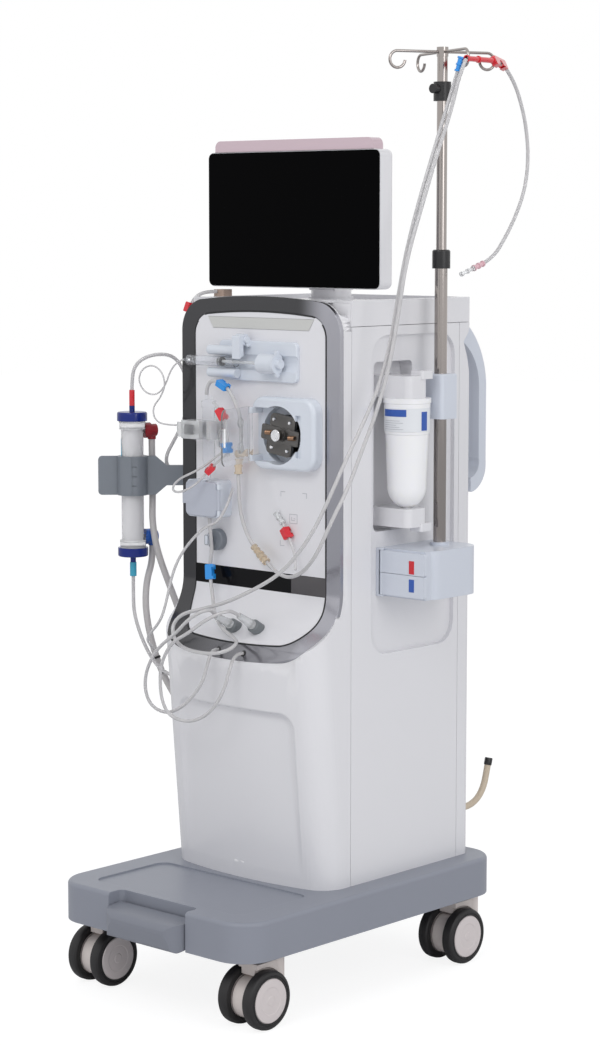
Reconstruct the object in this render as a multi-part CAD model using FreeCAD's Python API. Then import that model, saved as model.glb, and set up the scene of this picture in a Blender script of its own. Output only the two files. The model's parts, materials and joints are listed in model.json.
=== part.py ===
import FreeCAD, Part
import math
import os

V = FreeCAD.Vector
X_AXIS = V(1, 0, 0)
Y_AXIS = V(0, 1, 0)
Z_AXIS = V(0, 0, 1)

# Millimetres. The machine is drawn about its body's middle plane, with x to the right of someone who
# faces the front, y backwards and z up from the floor. Writing a node moves it by MIDDLE, so that the
# frame's origin lies on the floor under the middle of the whole machine.
MIDDLE = V(6.68, 2.76, 0)

# Clearances
FIT = 0.05
GAP = 0.3
SEAM = 0.8

# Trolley base
BASE_WIDTH = 460
BASE_FRONT = -328
BASE_BACK = 338
BASE_BOTTOM = 122
BASE_TOP = 190
BASE_CORNER = 60
BASE_WALL = 6
BASE_ROOF = 10
BASE_EDGE = 7
TRAY_WIDTH = 350
TRAY_FRONT = -286
TRAY_BACK = -114
TRAY_DEPTH = 3
NOTCH_WIDTH = 184
NOTCH_DEPTH = 32

# Lock pedal
PEDAL_GAP = 6
PEDAL_REACH = 24
PEDAL_TOP = 171
PEDAL_BOTTOM = 121
PEDAL_AXIS_Y = -312
PEDAL_AXIS_Z = 148
PEDAL_PIN_R = 5

# Casters
STEM_X = 182
STEM_FRONT_Y = -218
STEM_BACK_Y = 298
STEM_R = 9
STEM_RISE = 40
BOSS_R = 27
TRAIL = 40
WHEEL_R = 50
TYRE_THICK = 12
WHEEL_WIDTH = 22
WHEEL_SPACING = 55
AXLE_R = 5
FORK_HEAD_R = 23
FORK_WIDTH = 28
FORK_DISC_R = 37

# Body casing
BODY_HALF = 186
WALL = 4
SEAM_Y = -22
BACK_Y = 304
REAR_COVER_DEPTH = 40
BACK_CORNER = 18
TOP_Z = 1190
RIM_HEIGHT = 44
WAIST_Y = 276
WAIST_TOP = 1112
WAIST_BOTTOM = 985
TOP_TRAY_DEPTH = 8

# Front of the body
PANEL_Y = -50
SWEEP_TOP = 700
SWEEP_R = 90
SWEEP_ANGLE = 50
LIP_Y = -115.6
LIP_Z = 603
FRAME_BOTTOM_Z = 577
FRAME_BOTTOM_Y = -131
FRAME_TOP_Z = 1195
FRAME_THICK = 8
FRAME_EDGE = 7
FRAME_CORNER_TOP = 55
FRAME_CORNER_BOTTOM = 78
FRAME_CROWN_R = 1250
PANEL_HALF = 155
PANEL_TOP_Z = 1170
PANEL_CORNER_TOP = 38
PANEL_CORNER_BOTTOM = 62
PANEL_THICK = 4
PANEL_GROOVE = 1.2
BOW_Y = -100.7
BOW_LEAN = 0.0863
BOW_R = 740
BOW_CORNER = 50
BAND_TOP = 722.7
BAND_BOTTOM = 689.6
BAND_THICK = 2
LAMP_BOTTOM = 1139
LAMP_TOP = 1158
LAMP_LEFT = -121
LAMP_RIGHT = 127
LAMP_SLANT = 12
KNEE_TOP = 492
KNEE_HALF = 130
KNEE_DEPTH = 7
PORT_X = (-29, 31)
PORT_R = 6

# Right side of the body
RECESS_DEPTH = 8
RECESS_Y = (30, 252)
RECESS_Z = (583, 1130)
RECESS_CORNER = 40
NICHE_Y = (44, 146)
NICHE_Z = (795, 1085)
NICHE_X = 150
NICHE_CORNER = 10

# Rear handles
HANDLE_WIDTH = 38
HANDLE_THICK = 20
HANDLE_TOP = 1128
HANDLE_BOTTOM = 846
HANDLE_OUT = 346

# Monitor
SCREEN_Y = 31
SCREEN_HALF = 198.5
SCREEN_BOTTOM = 1209
SCREEN_TOP = 1441
SCREEN_CORNER = 10
GLASS_THICK = 3
HOUSING_DEPTH = 36
ALARM_HALF = 184
ALARM_HEIGHT = 21
ALARM_DEPTH = 26
NECK_Y = 135
NECK_R = 35.5
NECK_WIDTH = 60
TILT_Y = 88
TILT_Z = 1325
TILT_PIN_R = 6

# Syringe pump
DOCK_X = (-88, 94)
DOCK_Z = (1050, 1119)
DOCK_RAISE = 8
SYRINGE_Z = 1082
SYRINGE_Y = -70
SYRINGE_R = 9
SYRINGE_WALL = 1
SYRINGE_LEFT = -150
SYRINGE_RIGHT = -36
GRIP_R = 8.5
GRIP_RISE = 19.5
GRIP_Y = -66
GRIP_X = (-104, -36)
LEVER_WIDTH = 18
LEVER_X = -35
LEVER_BOTTOM = 1087
LEVER_PIVOT_Z = 1121
LEVER_HUB_R = 10
LEVER_PIN_R = 3
CARRIAGE_X = (22, 58)
CARRIAGE_R = 18

# Blood pump
PUMP_X = (0, 146)
PUMP_Z = (902, 1026)
PUMP_RAISE = 22
PUMP_CORNER = 26
ROTOR_X = 61
ROTOR_Z = 961
RACE_R = 50
RACE_FLOOR_Y = -38
SHAFT_R = 5
ROLLER_R = 8
ROLLER_OFFSET = 36
ROTOR_TILT = -8
DOOR_LENGTH = 104
DOOR_HEIGHT = 96
DOOR_THICK = 3
DOOR_HINGE_X = 5
DOOR_OPEN = 72
HINGE_PIN_R = 2.5

# Venous line fittings on the panel
CHAMBER_X = -95
CHAMBER_Y = -77
CHAMBER_R = 11
CHAMBER_Z = (893, 1010)
CLIP_X = (-150, -78)
CLIP_Z = (946, 978)
DETECTOR_X = (-142, -66)
DETECTOR_Z = (810, 875)
DETECTOR_RAISE = 34
LID_THICK = 4
VENOUS_CLAMP_Z = 769
VENOUS_CLAMP_R = 19
VENOUS_CLAMP_RAISE = 13

# Dialyser and its holder
DIALYSER_X = -BODY_HALF - 106
DIALYSER_Y = -72
DIALYSER_R = 20
DIALYSER_Z = (740, 968)
CAP_R = 27
CAP_HEIGHT = 16
SIDE_PORT = (0.35, 0.94, 0)
ELBOW_REACH = 38
ELBOW_DROP = 16
HOLDER_Z = (835, 905)
HOLDER_THICK = 7
ARM_Z = (852, 888)
ARM_THICK = 10
ARM_PIVOT = (-BODY_HALF - 19, 14)
PIVOT_R = 6

# Bicarbonate cartridge
CARTRIDGE_X = BODY_HALF + 26
CARTRIDGE_Y = 92
CARTRIDGE_Z = (836, 1024)
CARTRIDGE_RIM_R = 41
CARTRIDGE_R = 37
CARTRIDGE_TAPER = 3.5
SPIGOT_R = 8
SPIGOT_LENGTH = 10

# Infusion pole
POLE_X = BODY_HALF + 43
POLE_Y = 160
POLE_R = 11
POLE_BORE = 9.05
POLE_TOP = 1242
COLLAR_R = 15.5
COLLAR_HEIGHT = 32
UPPER_R = 9
UPPER_BOTTOM = 960
UPPER_TOP = 1612
KNOB_Z = (1524, 1556)
HOOK_ROD_R = 2.5
HOOK_REACH = 84
HOOK_BEND = 14
HOOK_Z = 1606
HOOK_TURN = -24.8
BRACKET_Z = (986, 1063)

# Blood line fittings
LINE_BORE = 3.9

# Connector box at the pole's foot
BOX_X = (BODY_HALF - 8, BODY_HALF + 101)
BOX_Y = (60, 205)
BOX_Z = (685, 768)
BOX_CORNER = 34
FLAP_THICK = 8
FLAP_HINGE_X = BODY_HALF + 3
FLAP_HINGE_Y = 55.2
FLAP_KNUCKLE_R = 4


def box(x, y, z):
    """A block between two values on each axis."""
    return Part.makeBox(x[1] - x[0], y[1] - y[0], z[1] - z[0], V(x[0], y[0], z[0]))


def rod(start, direction, radius, length):
    return Part.makeCylinder(radius, length, V(*start), V(*direction))


def tube(start, direction, outer, inner, length):
    return rod(start, direction, outer, length).cut(rod(start, direction, inner, length))


def rounded(x, y, z, radius, axis):
    """A block whose edges along one axis are rounded."""
    block = box(x, y, z)
    edges = []
    for edge in block.Edges:
        if edge.tangentAt(edge.FirstParameter).cross(axis).Length < 1e-6:
            edges.append(edge)
    return block.makeFillet(radius, edges)


def soften(shape, radius, picks):
    """The shape with a fillet on each edge that picks accepts."""
    edges = [edge for edge in shape.Edges if picks(edge)]
    return shape.makeFillet(radius, edges)


def lies_at(axis, value):
    """A test for edges that lie wholly in the plane where the axis has the value."""

    def test(edge):
        low, high = edge.BoundBox.XMin, edge.BoundBox.XMax
        if axis == Y_AXIS:
            low, high = edge.BoundBox.YMin, edge.BoundBox.YMax
        if axis == Z_AXIS:
            low, high = edge.BoundBox.ZMin, edge.BoundBox.ZMax
        return abs(low - value) < 1e-4 and abs(high - value) < 1e-4

    return test


def path(points):
    """A wire through points. A pair of points is an arc: its middle, then its end."""
    edges = []
    last = points[0]
    for point in points[1:]:
        if isinstance(point, tuple):
            edges.append(Part.Arc(last, point[0], point[1]).toShape())
            last = point[1]
        else:
            edges.append(Part.LineSegment(last, point).toShape())
            last = point
    return Part.Wire(edges)


def prism(points, direction):
    return Part.Face(path(points)).extrude(direction)


def prism_yz(points, x0, x1):
    """Points are (y, z), or a pair of them for an arc."""
    wired = []
    for point in points:
        if isinstance(point[0], tuple):
            wired.append(tuple(V(x0, y, z) for y, z in point))
        else:
            wired.append(V(x0, *point))
    return prism(wired, V(x1 - x0, 0, 0))


def crown(half, bow, corner):
    """Where a corner arc meets a bowed edge: the arc centre's depth below the crown, then the
    tangent point's offset and depth, and the directions of the tangent point and the arc's middle."""
    drop = bow - math.sqrt((bow - corner) ** 2 - (half - corner) ** 2)
    touch_x = (half - corner) * bow / (bow - corner)
    touch_drop = bow - math.sqrt(bow**2 - touch_x**2)
    angle = math.atan2(bow - drop, half - corner)
    return drop, touch_x, touch_drop, angle / 2


def bowed_ends(half, crown_v, outward, bow, corner):
    """The points of one bowed edge with its two corner arcs, from +u to -u, as (u, v)."""
    drop, touch_x, touch_drop, middle = crown(half, bow, corner)
    side_v = crown_v - outward * drop
    mid_u = half - corner + corner * math.cos(middle)
    mid_v = side_v + outward * corner * math.sin(middle)
    touch_v = crown_v - outward * touch_drop
    return [
        (half, side_v),
        ((mid_u, mid_v), (touch_x, touch_v)),
        ((0, crown_v), (-touch_x, touch_v)),
        ((-mid_u, mid_v), (-half, side_v)),
    ]


def front_outline(inset, y0, y1):
    """The rounded outline of the front frame, as a prism from y0 to y1. inset is the frame's width
    at zero for the outside, and the panel's own values are used for the inside."""
    half, top, bottom, corner_top, corner_bottom = inset
    points = bowed_ends(half, top, 1, FRAME_CROWN_R, corner_top)
    lower = bowed_ends(half, bottom, -1, FRAME_CROWN_R, corner_bottom)
    lower = [(-u, v) if not isinstance(u, tuple) else (u, v) for u, v in lower]
    mirrored = []
    for item in lower:
        if isinstance(item[0], tuple):
            mirrored.append(tuple((-u, v) for u, v in item))
        else:
            mirrored.append(item)
    points = points + mirrored + [points[0]]
    wired = []
    for item in points:
        if isinstance(item[0], tuple):
            wired.append(tuple(V(u, y0, v) for u, v in item))
        else:
            wired.append(V(item[0], y0, item[1]))
    return prism(wired, V(0, y1 - y0, 0))


FRAME_OUTSIDE = (BODY_HALF, FRAME_TOP_Z, FRAME_BOTTOM_Z, FRAME_CORNER_TOP, FRAME_CORNER_BOTTOM)
FRAME_INSIDE = (PANEL_HALF, PANEL_TOP_Z, LIP_Z, PANEL_CORNER_TOP, PANEL_CORNER_BOTTOM)
PANEL_OUTSIDE = (
    PANEL_HALF - PANEL_GROOVE,
    PANEL_TOP_Z - PANEL_GROOVE,
    LIP_Z + PANEL_GROOVE,
    PANEL_CORNER_TOP - PANEL_GROOVE,
    PANEL_CORNER_BOTTOM - PANEL_GROOVE,
)


def front_line(depth, top):
    """The front surface seen from the side, moved back by depth: straight down the panel, round the
    sweep, down the slope to the lip and down the frame's lower edge. Points are (y, z)."""
    turn = math.radians(SWEEP_ANGLE)
    centre_y = PANEL_Y - SWEEP_R
    radius = SWEEP_R + depth
    end = (centre_y + radius * math.cos(turn), SWEEP_TOP - radius * math.sin(turn))
    half = (centre_y + radius * math.cos(turn / 2), SWEEP_TOP - radius * math.sin(turn / 2))
    slope = (math.cos(turn), -math.sin(turn))
    run = (FRAME_BOTTOM_Y - LIP_Y, FRAME_BOTTOM_Z - LIP_Z)
    length = math.hypot(*run)
    edge = (-run[1] / length, run[0] / length)
    scale = depth / (1 + slope[0] * edge[0] + slope[1] * edge[1])
    lip = (LIP_Y + scale * (slope[0] + edge[0]), LIP_Z + scale * (slope[1] + edge[1]))
    foot = (FRAME_BOTTOM_Y + depth * edge[0], FRAME_BOTTOM_Z + depth * edge[1])
    foot = (foot[0] + run[0] * 0.2, foot[1] + run[1] * 0.2)
    return [(PANEL_Y + depth, top), (PANEL_Y + depth, SWEEP_TOP), (half, end), lip, foot]


def front_slab(near, far, top):
    """The layer of the front between two depths behind its surface."""
    face = front_line(near, top)
    back = front_line(far, top)
    turned = [back[4], back[3], back[2][1], (back[2][0], back[1]), back[0]]
    return prism_yz(face + turned + [face[0]], -BODY_HALF - 20, BODY_HALF + 20)


def bow_outline(z, inset):
    """The plan of the front shell at one height, from the seam round the bowed front."""
    front = BOW_Y - BOW_LEAN * (z - BASE_TOP) + inset
    half = BODY_HALF - inset
    points = bowed_ends(half, front, -1, BOW_R - inset, BOW_CORNER - inset)
    wired = [V(half, SEAM_Y, z)]
    for item in points:
        if isinstance(item[0], tuple):
            wired.append(tuple(V(u, v, z) for u, v in item))
        else:
            wired.append(V(item[0], item[1], z))
    return path(wired + [V(-half, SEAM_Y, z), wired[0]])


def bow_block(bottom, top, inset):
    return Part.makeLoft([bow_outline(bottom, inset), bow_outline(top, inset)], True, True)


def front_side(depth, bottom, top):
    """All that lies behind the front surface, seen from the side."""
    face = front_line(depth, top)
    far = FRAME_BOTTOM_Y - 90
    points = [(SEAM_Y, bottom), (SEAM_Y, top)] + face + [(far, face[4][1]), (far, bottom)]
    return prism_yz(points + [points[0]], -BODY_HALF - 1, BODY_HALF + 1)


def knee_recess():
    """The shallow panel pressed into the lower front, deepest at its top edge."""
    points = [
        (BOW_Y - 80, KNEE_TOP),
        (BOW_Y - 18.5, KNEE_TOP),
        (BOW_Y - 2, BASE_TOP + 30),
        (BOW_Y - 80, BASE_TOP + 30),
        (BOW_Y - 80, KNEE_TOP),
    ]
    tool = prism_yz(points, -KNEE_HALF, KNEE_HALF)
    mask = rounded(
        (-KNEE_HALF, KNEE_HALF), (BOW_Y - 90, BOW_Y + 40), (BASE_TOP - 60, KNEE_TOP), 26, Y_AXIS
    )
    return tool.common(mask)


def front_shell():
    outer = bow_block(BASE_TOP, TOP_Z, 0).common(front_side(0, BASE_TOP, TOP_Z))
    outer = outer.cut(knee_recess())
    inner = bow_block(BASE_TOP - 1, TOP_Z - WALL, WALL + KNEE_DEPTH)
    inner = inner.common(front_side(FRAME_THICK + WALL, BASE_TOP - 1, TOP_Z - WALL))
    shell = outer.cut(inner)
    shell = shell.cut(
        front_slab(-20, FRAME_THICK, TOP_Z + 30).common(front_outline(FRAME_OUTSIDE, -260, 20))
    )
    shell = shell.cut(pump_pot_space()).cut(port_space())
    corner = front_corner_waste()
    return shell.cut(corner)


def front_corner_waste():
    """What lies outside the frame's rounded top corners, cut away from the shell behind it."""
    block = box((-BODY_HALF - 5, BODY_HALF + 5), (-260, SEAM_Y + 5), (TOP_Z - 120, TOP_Z + 40))
    keep = front_outline(
        (BODY_HALF, FRAME_TOP_Z, FRAME_BOTTOM_Z, FRAME_CORNER_TOP, FRAME_CORNER_BOTTOM), -270, 20
    )
    return block.cut(keep)


def pump_pot_space():
    return rod((ROTOR_X, PANEL_Y - 30, ROTOR_Z), (0, 1, 0), RACE_R + WALL + 1, 60)


def port_rod(x, radius):
    """A cylinder square to the frame's lower edge, through one port."""
    return rod((x, LIP_Y - 34, LIP_Z + 2), (0, 0.86, -0.51), radius, 60)


def port_space():
    space = []
    for x in PORT_X:
        space.append(port_rod(x, PORT_R + 1))
    return Part.makeCompound(space)


def front_frame():
    ring = front_outline(FRAME_OUTSIDE, -260, 20).cut(front_outline(FRAME_INSIDE, -270, 30))
    frame = front_slab(0, FRAME_THICK, TOP_Z + 30).common(ring)
    frame = frame.common(bow_block(BASE_TOP, TOP_Z + 60, 0))
    for x in PORT_X:
        frame = frame.cut(port_rod(x, PORT_R))
    return frame


def front_panel():
    panel = front_slab(0, FRAME_THICK, TOP_Z + 30).common(front_outline(PANEL_OUTSIDE, -260, 20))
    panel = panel.cut(
        box((-BODY_HALF, BODY_HALF), (PANEL_Y - 1, PANEL_Y + BAND_THICK), (BAND_BOTTOM, BAND_TOP))
    )
    panel = panel.cut(lamp(GAP))
    return panel.cut(pump_pot_space())


def lamp(grow):
    """The status light: a strip with slanted ends, slightly proud of the panel."""
    y = PANEL_Y + BAND_THICK
    points = [
        V(LAMP_LEFT - grow, y, LAMP_TOP + grow),
        V(LAMP_RIGHT + grow, y, LAMP_TOP + grow),
        V(LAMP_RIGHT - LAMP_SLANT + grow, y, LAMP_BOTTOM - grow),
        V(LAMP_LEFT + LAMP_SLANT - grow, y, LAMP_BOTTOM - grow),
        V(LAMP_LEFT - grow, y, LAMP_TOP + grow),
    ]
    return prism(points, V(0, -BAND_THICK - (1 if grow == 0 else 5), 0))


def front_inlays():
    half = PANEL_HALF - PANEL_GROOVE
    band = box((-half, half), (PANEL_Y, PANEL_Y + BAND_THICK), (BAND_BOTTOM, BAND_TOP))
    return Part.makeCompound([band, lamp(0)])


def side_outline(inset):
    """The casing seen from the side, behind the front shell. Points are (y, z)."""
    back = BACK_Y - inset
    waist = WAIST_Y - inset
    return [
        (SEAM_Y, BASE_TOP - (1 if inset else 0)),
        (back, BASE_TOP - (1 if inset else 0)),
        (back, WAIST_BOTTOM),
        ((back - 8, (WAIST_TOP + WAIST_BOTTOM) / 2), (waist, WAIST_TOP)),
        (back, TOP_Z - RIM_HEIGHT),
        (back, TOP_Z - inset),
        (SEAM_Y, TOP_Z - inset),
        (SEAM_Y, BASE_TOP - (1 if inset else 0)),
    ]


def side_recess(grow):
    """The shallow recess and the deep niche in the right side, grown by a wall for the inside."""
    shallow = rounded(
        (BODY_HALF - RECESS_DEPTH - grow, BODY_HALF + 30),
        (RECESS_Y[0] - grow, RECESS_Y[1] + grow),
        (RECESS_Z[0] - grow, RECESS_Z[1] + grow),
        RECESS_CORNER,
        X_AXIS,
    )
    deep = rounded(
        (NICHE_X - grow, BODY_HALF + 30),
        (NICHE_Y[0] - grow, NICHE_Y[1] + grow),
        (NICHE_Z[0] - grow, NICHE_Z[1] + grow),
        NICHE_CORNER,
        X_AXIS,
    )
    return shallow.fuse(deep)


def casing():
    outer = prism_yz(side_outline(0), -BODY_HALF, BODY_HALF)
    plan = rounded(
        (-BODY_HALF, BODY_HALF), (SEAM_Y - 60, BACK_Y), (BASE_TOP - 5, TOP_Z + 5), BACK_CORNER, Z_AXIS
    )
    outer = outer.common(plan).cut(side_recess(0))
    inner = prism_yz(side_outline(WALL), -BODY_HALF + WALL, BODY_HALF - WALL)
    plan = rounded(
        (-BODY_HALF + WALL, BODY_HALF - WALL),
        (SEAM_Y - 60, BACK_Y - WALL),
        (BASE_TOP - 5, TOP_Z + 5),
        BACK_CORNER - WALL,
        Z_AXIS,
    )
    inner = inner.common(plan).cut(side_recess(WALL))
    return outer.cut(inner)


def side_panels(shell):
    span_y = (SEAM_Y + SEAM, BACK_Y - REAR_COVER_DEPTH)
    span_z = (BASE_TOP, TOP_Z - RIM_HEIGHT)
    right = shell.common(box((10, BODY_HALF + 1), span_y, span_z))
    left = shell.common(box((-BODY_HALF - 1, -10), span_y, span_z))
    return right, left


def rear_cover(shell):
    cover = shell.common(
        box(
            (-BODY_HALF - 1, BODY_HALF + 1),
            (BACK_Y - REAR_COVER_DEPTH + SEAM, BACK_Y + 1),
            (BASE_TOP, TOP_Z - RIM_HEIGHT),
        )
    )
    slots = []
    for row in range(12):
        z = 420 + 14 * row
        slots.append(rounded((-110, 110), (BACK_Y - 10, BACK_Y + 10), (z, z + 6), 2.9, Y_AXIS))
    cover = cover.cut(Part.makeCompound(slots))
    socket = rounded((-150, -100), (BACK_Y - 24, BACK_Y + 3), (244, 284), 4, Y_AXIS)
    mouth = rounded((-144, -106), (BACK_Y - 18, BACK_Y + 4), (250, 278), 3, Y_AXIS)
    cover = cover.fuse(socket).cut(mouth)
    for x in (60, 95):
        barb = rod((x, BACK_Y - 8, 262), (0, 1, 0), 8, 14)
        barb = barb.fuse(rod((x, BACK_Y, 262), (0, 1, 0), 5.5, 30))
        for step in range(3):
            barb = barb.fuse(Part.makeCone(7, 5.5, 6, V(x, BACK_Y + 10 + 6.5 * step, 262), Y_AXIS))
        cover = cover.fuse(barb)
    return cover.fuse(rod((150, BACK_Y - 8, 262), (0, 1, 0), 9, 13))


def top_cover(shell):
    rim = box(
        (-BODY_HALF - 1, BODY_HALF + 1),
        (SEAM_Y + SEAM, BACK_Y + 1),
        (TOP_Z - RIM_HEIGHT + SEAM, TOP_Z + 1),
    )
    cover = shell.common(rim)
    tray = rounded(
        (-BODY_HALF + 16, BODY_HALF - 16),
        (30, BACK_Y - 14),
        (TOP_Z - TOP_TRAY_DEPTH, TOP_Z + 2),
        20,
        Z_AXIS,
    )
    floor = rounded(
        (-BODY_HALF + 12, BODY_HALF - 12),
        (26, BACK_Y - 10),
        (TOP_Z - TOP_TRAY_DEPTH - WALL, TOP_Z - WALL / 2),
        22,
        Z_AXIS,
    )
    cover = cover.fuse(floor).cut(tray)
    boss = rod((0, NECK_Y, TOP_Z - TOP_TRAY_DEPTH - WALL), (0, 0, 1), NECK_R + 4, WALL + TOP_TRAY_DEPTH)
    cover = cover.fuse(boss)
    pivot = rod((0, NECK_Y, TOP_Z - 40), (0, 0, 1), 12 + FIT, 60)
    return cover.cut(pivot)


def rear_handles():
    """Two upright grips behind the body's rear corners."""
    grips = []
    inner = HANDLE_OUT - HANDLE_THICK
    points = [
        (BACK_Y, HANDLE_BOTTOM),
        (BACK_Y + 3, HANDLE_BOTTOM - 2),
        ((HANDLE_OUT - 8, HANDLE_BOTTOM + 18), (HANDLE_OUT, HANDLE_BOTTOM + 52)),
        (HANDLE_OUT, HANDLE_TOP - 92),
        ((HANDLE_OUT - 13, HANDLE_TOP - 40), (BACK_Y - 8, HANDLE_TOP + 10)),
        (BACK_Y - 30, HANDLE_TOP + 16),
        (BACK_Y - 26, HANDLE_TOP - 16),
        ((inner - 8, HANDLE_TOP - 60), (inner, HANDLE_TOP - 100)),
        (inner, HANDLE_BOTTOM + 58),
        ((inner - 3, HANDLE_BOTTOM + 36), (BACK_Y, HANDLE_BOTTOM + 24)),
        (BACK_Y, HANDLE_BOTTOM),
    ]
    for side in (-1, 1):
        x = sorted((side * (BODY_HALF - 4), side * (BODY_HALF - 4 - HANDLE_WIDTH)))
        grips.append(prism_yz(points, x[0], x[1]).cut(prism_yz(side_outline(0), x[0] - 1, x[1] + 1)))
    return grips


def trolley_base():
    half = BASE_WIDTH / 2
    body = rounded((-half, half), (BASE_FRONT, BASE_BACK), (BASE_BOTTOM, BASE_TOP), BASE_CORNER, Z_AXIS)
    body = soften(body, BASE_EDGE, lies_at(Z_AXIS, BASE_TOP))
    notch_half = NOTCH_WIDTH / 2
    notch_back = BASE_FRONT + NOTCH_DEPTH
    notch = rounded(
        (-notch_half, notch_half), (BASE_FRONT - 40, notch_back), (BASE_BOTTOM - 1, BASE_TOP + 1), 10, Z_AXIS
    )
    keep = rounded(
        (-notch_half - BASE_WALL, notch_half + BASE_WALL),
        (BASE_FRONT - 40, notch_back + BASE_WALL),
        (BASE_BOTTOM - 2, BASE_TOP + 2),
        16,
        Z_AXIS,
    )
    hollow = rounded(
        (-half + BASE_WALL, half - BASE_WALL),
        (BASE_FRONT + BASE_WALL, BASE_BACK - BASE_WALL),
        (BASE_BOTTOM - 1, BASE_TOP - BASE_ROOF),
        BASE_CORNER - BASE_WALL,
        Z_AXIS,
    ).cut(keep)
    for x in (-half / 3, half / 3):
        rib = box(
            (x - BASE_WALL / 2, x + BASE_WALL / 2),
            (notch_back + 1, BASE_BACK),
            (BASE_BOTTOM + 4, BASE_TOP),
        )
        hollow = hollow.cut(rib)
    for y in (STEM_FRONT_Y, 40, STEM_BACK_Y):
        rib = box((-half, half), (y - BASE_WALL / 2, y + BASE_WALL / 2), (BASE_BOTTOM + 4, BASE_TOP))
        hollow = hollow.cut(rib)
    for x, y in caster_places():
        hollow = hollow.cut(rod((x, y, BASE_BOTTOM), (0, 0, 1), BOSS_R, BASE_TOP - BASE_BOTTOM))
    body = body.cut(notch).cut(hollow)
    tray = rounded(
        (-TRAY_WIDTH / 2, TRAY_WIDTH / 2),
        (TRAY_FRONT, TRAY_BACK),
        (BASE_TOP - TRAY_DEPTH, BASE_TOP + 1),
        22,
        Z_AXIS,
    )
    body = body.cut(tray)
    for x, y in caster_places():
        body = body.cut(rod((x, y, BASE_BOTTOM - 1), (0, 0, 1), STEM_R + FIT, STEM_RISE + 2))
    reach = notch_half + BASE_WALL + 1
    pin = rod((-reach, PEDAL_AXIS_Y, PEDAL_AXIS_Z), (1, 0, 0), PEDAL_PIN_R + FIT, 2 * reach)
    return body.cut(pin)


def caster_places():
    places = []
    for y in (STEM_FRONT_Y, STEM_BACK_Y):
        for x in (-STEM_X, STEM_X):
            places.append((x, y))
    return places


def lock_pedal():
    """The lock treadle in the base's notch: press its front to lock, its back to release."""
    half = NOTCH_WIDTH / 2 - PEDAL_GAP / 2
    front = BASE_FRONT - PEDAL_REACH
    back = BASE_FRONT + NOTCH_DEPTH - PEDAL_GAP
    points = [
        (back, PEDAL_TOP),
        (front + 14, PEDAL_TOP - 3),
        ((front + 3, PEDAL_TOP - 9), (front, PEDAL_TOP - 22)),
        (front + 4, PEDAL_BOTTOM + 8),
        ((front + 7, PEDAL_BOTTOM + 2), (front + 14, PEDAL_BOTTOM)),
        (back - 14, PEDAL_BOTTOM + 6),
        (back, PEDAL_AXIS_Z - 10),
        (back, PEDAL_TOP),
    ]
    pedal = prism_yz(points, -half, half)
    mask = rounded((-half, half), (front, back + 60), (PEDAL_BOTTOM - 5, PEDAL_TOP + 5), 30, Z_AXIS)
    pedal = pedal.common(mask)
    reach = NOTCH_WIDTH / 2 + BASE_WALL - 1
    return pedal.fuse(rod((-reach, PEDAL_AXIS_Y, PEDAL_AXIS_Z), (1, 0, 0), PEDAL_PIN_R, 2 * reach))


def caster_fork(x, y):
    """The swivel part of a twin-wheel caster: stem, head and the housing between the wheels."""
    axle_y = y - TRAIL
    stem = rod((x, y, BASE_BOTTOM - 20), (0, 0, 1), STEM_R, 20 + STEM_RISE)
    head = rod((x, y, WHEEL_R + 3), (0, 0, 1), FORK_HEAD_R, BASE_BOTTOM - GAP - WHEEL_R - 3)
    head = soften(head, 3, lies_at(Z_AXIS, BASE_BOTTOM - GAP))
    disc = rod((x - FORK_WIDTH / 2, axle_y, WHEEL_R), (1, 0, 0), FORK_DISC_R, FORK_WIDTH)
    web = box((x - FORK_WIDTH / 2 + 1, x + FORK_WIDTH / 2 - 1), (axle_y, y + 8), (WHEEL_R, WHEEL_R + 54))
    hood_half = FORK_HEAD_R - 1.5
    hood = rod((x - hood_half, axle_y, WHEEL_R), (1, 0, 0), WHEEL_R + 16, 2 * hood_half)
    hood = hood.common(
        box((x - hood_half, x + hood_half), (axle_y - 14, y), (WHEEL_R + 40, BASE_BOTTOM - 12))
    )
    fork = stem.fuse([head, disc, web, hood])
    for side in (-1, 1):
        inner = WHEEL_SPACING / 2 - WHEEL_WIDTH / 2 - 1.5
        start = x + side * inner
        clear = rod((start, axle_y, WHEEL_R), (side, 0, 0), WHEEL_R + 2.5, 40)
        fork = fork.cut(clear)
    bore = rod((x - 40, axle_y, WHEEL_R), (1, 0, 0), AXLE_R + FIT, 80)
    return fork.cut(bore)


def caster_wheels(x, y):
    """Two tyres, and their two hubs joined by the axle."""
    axle_y = y - TRAIL
    solids = []
    hub = rod((x - WHEEL_SPACING / 2, axle_y, WHEEL_R), (1, 0, 0), AXLE_R, WHEEL_SPACING)
    for side in (-1, 1):
        centre = x + side * WHEEL_SPACING / 2
        rim_r = WHEEL_R - TYRE_THICK
        tyre = rod((centre - WHEEL_WIDTH / 2, axle_y, WHEEL_R), (1, 0, 0), WHEEL_R, WHEEL_WIDTH)
        tyre = tyre.makeFillet(6, [e for e in tyre.Edges if e.Length > 200 and len(e.Vertexes) == 1])
        solids.append(tyre.cut(rod((centre - 30, axle_y, WHEEL_R), (1, 0, 0), rim_r, 60)))
        disc = rod(
            (centre - side * (WHEEL_WIDTH / 2 - 2), axle_y, WHEEL_R),
            (side, 0, 0),
            rim_r,
            WHEEL_WIDTH - 1,
        )
        outer_x = centre + side * (WHEEL_WIDTH / 2 + 1)
        disc = soften(disc, 2.5, lies_at(X_AXIS, outer_x))
        hub = hub.fuse(disc)
    solids.append(hub)
    return solids


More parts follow.
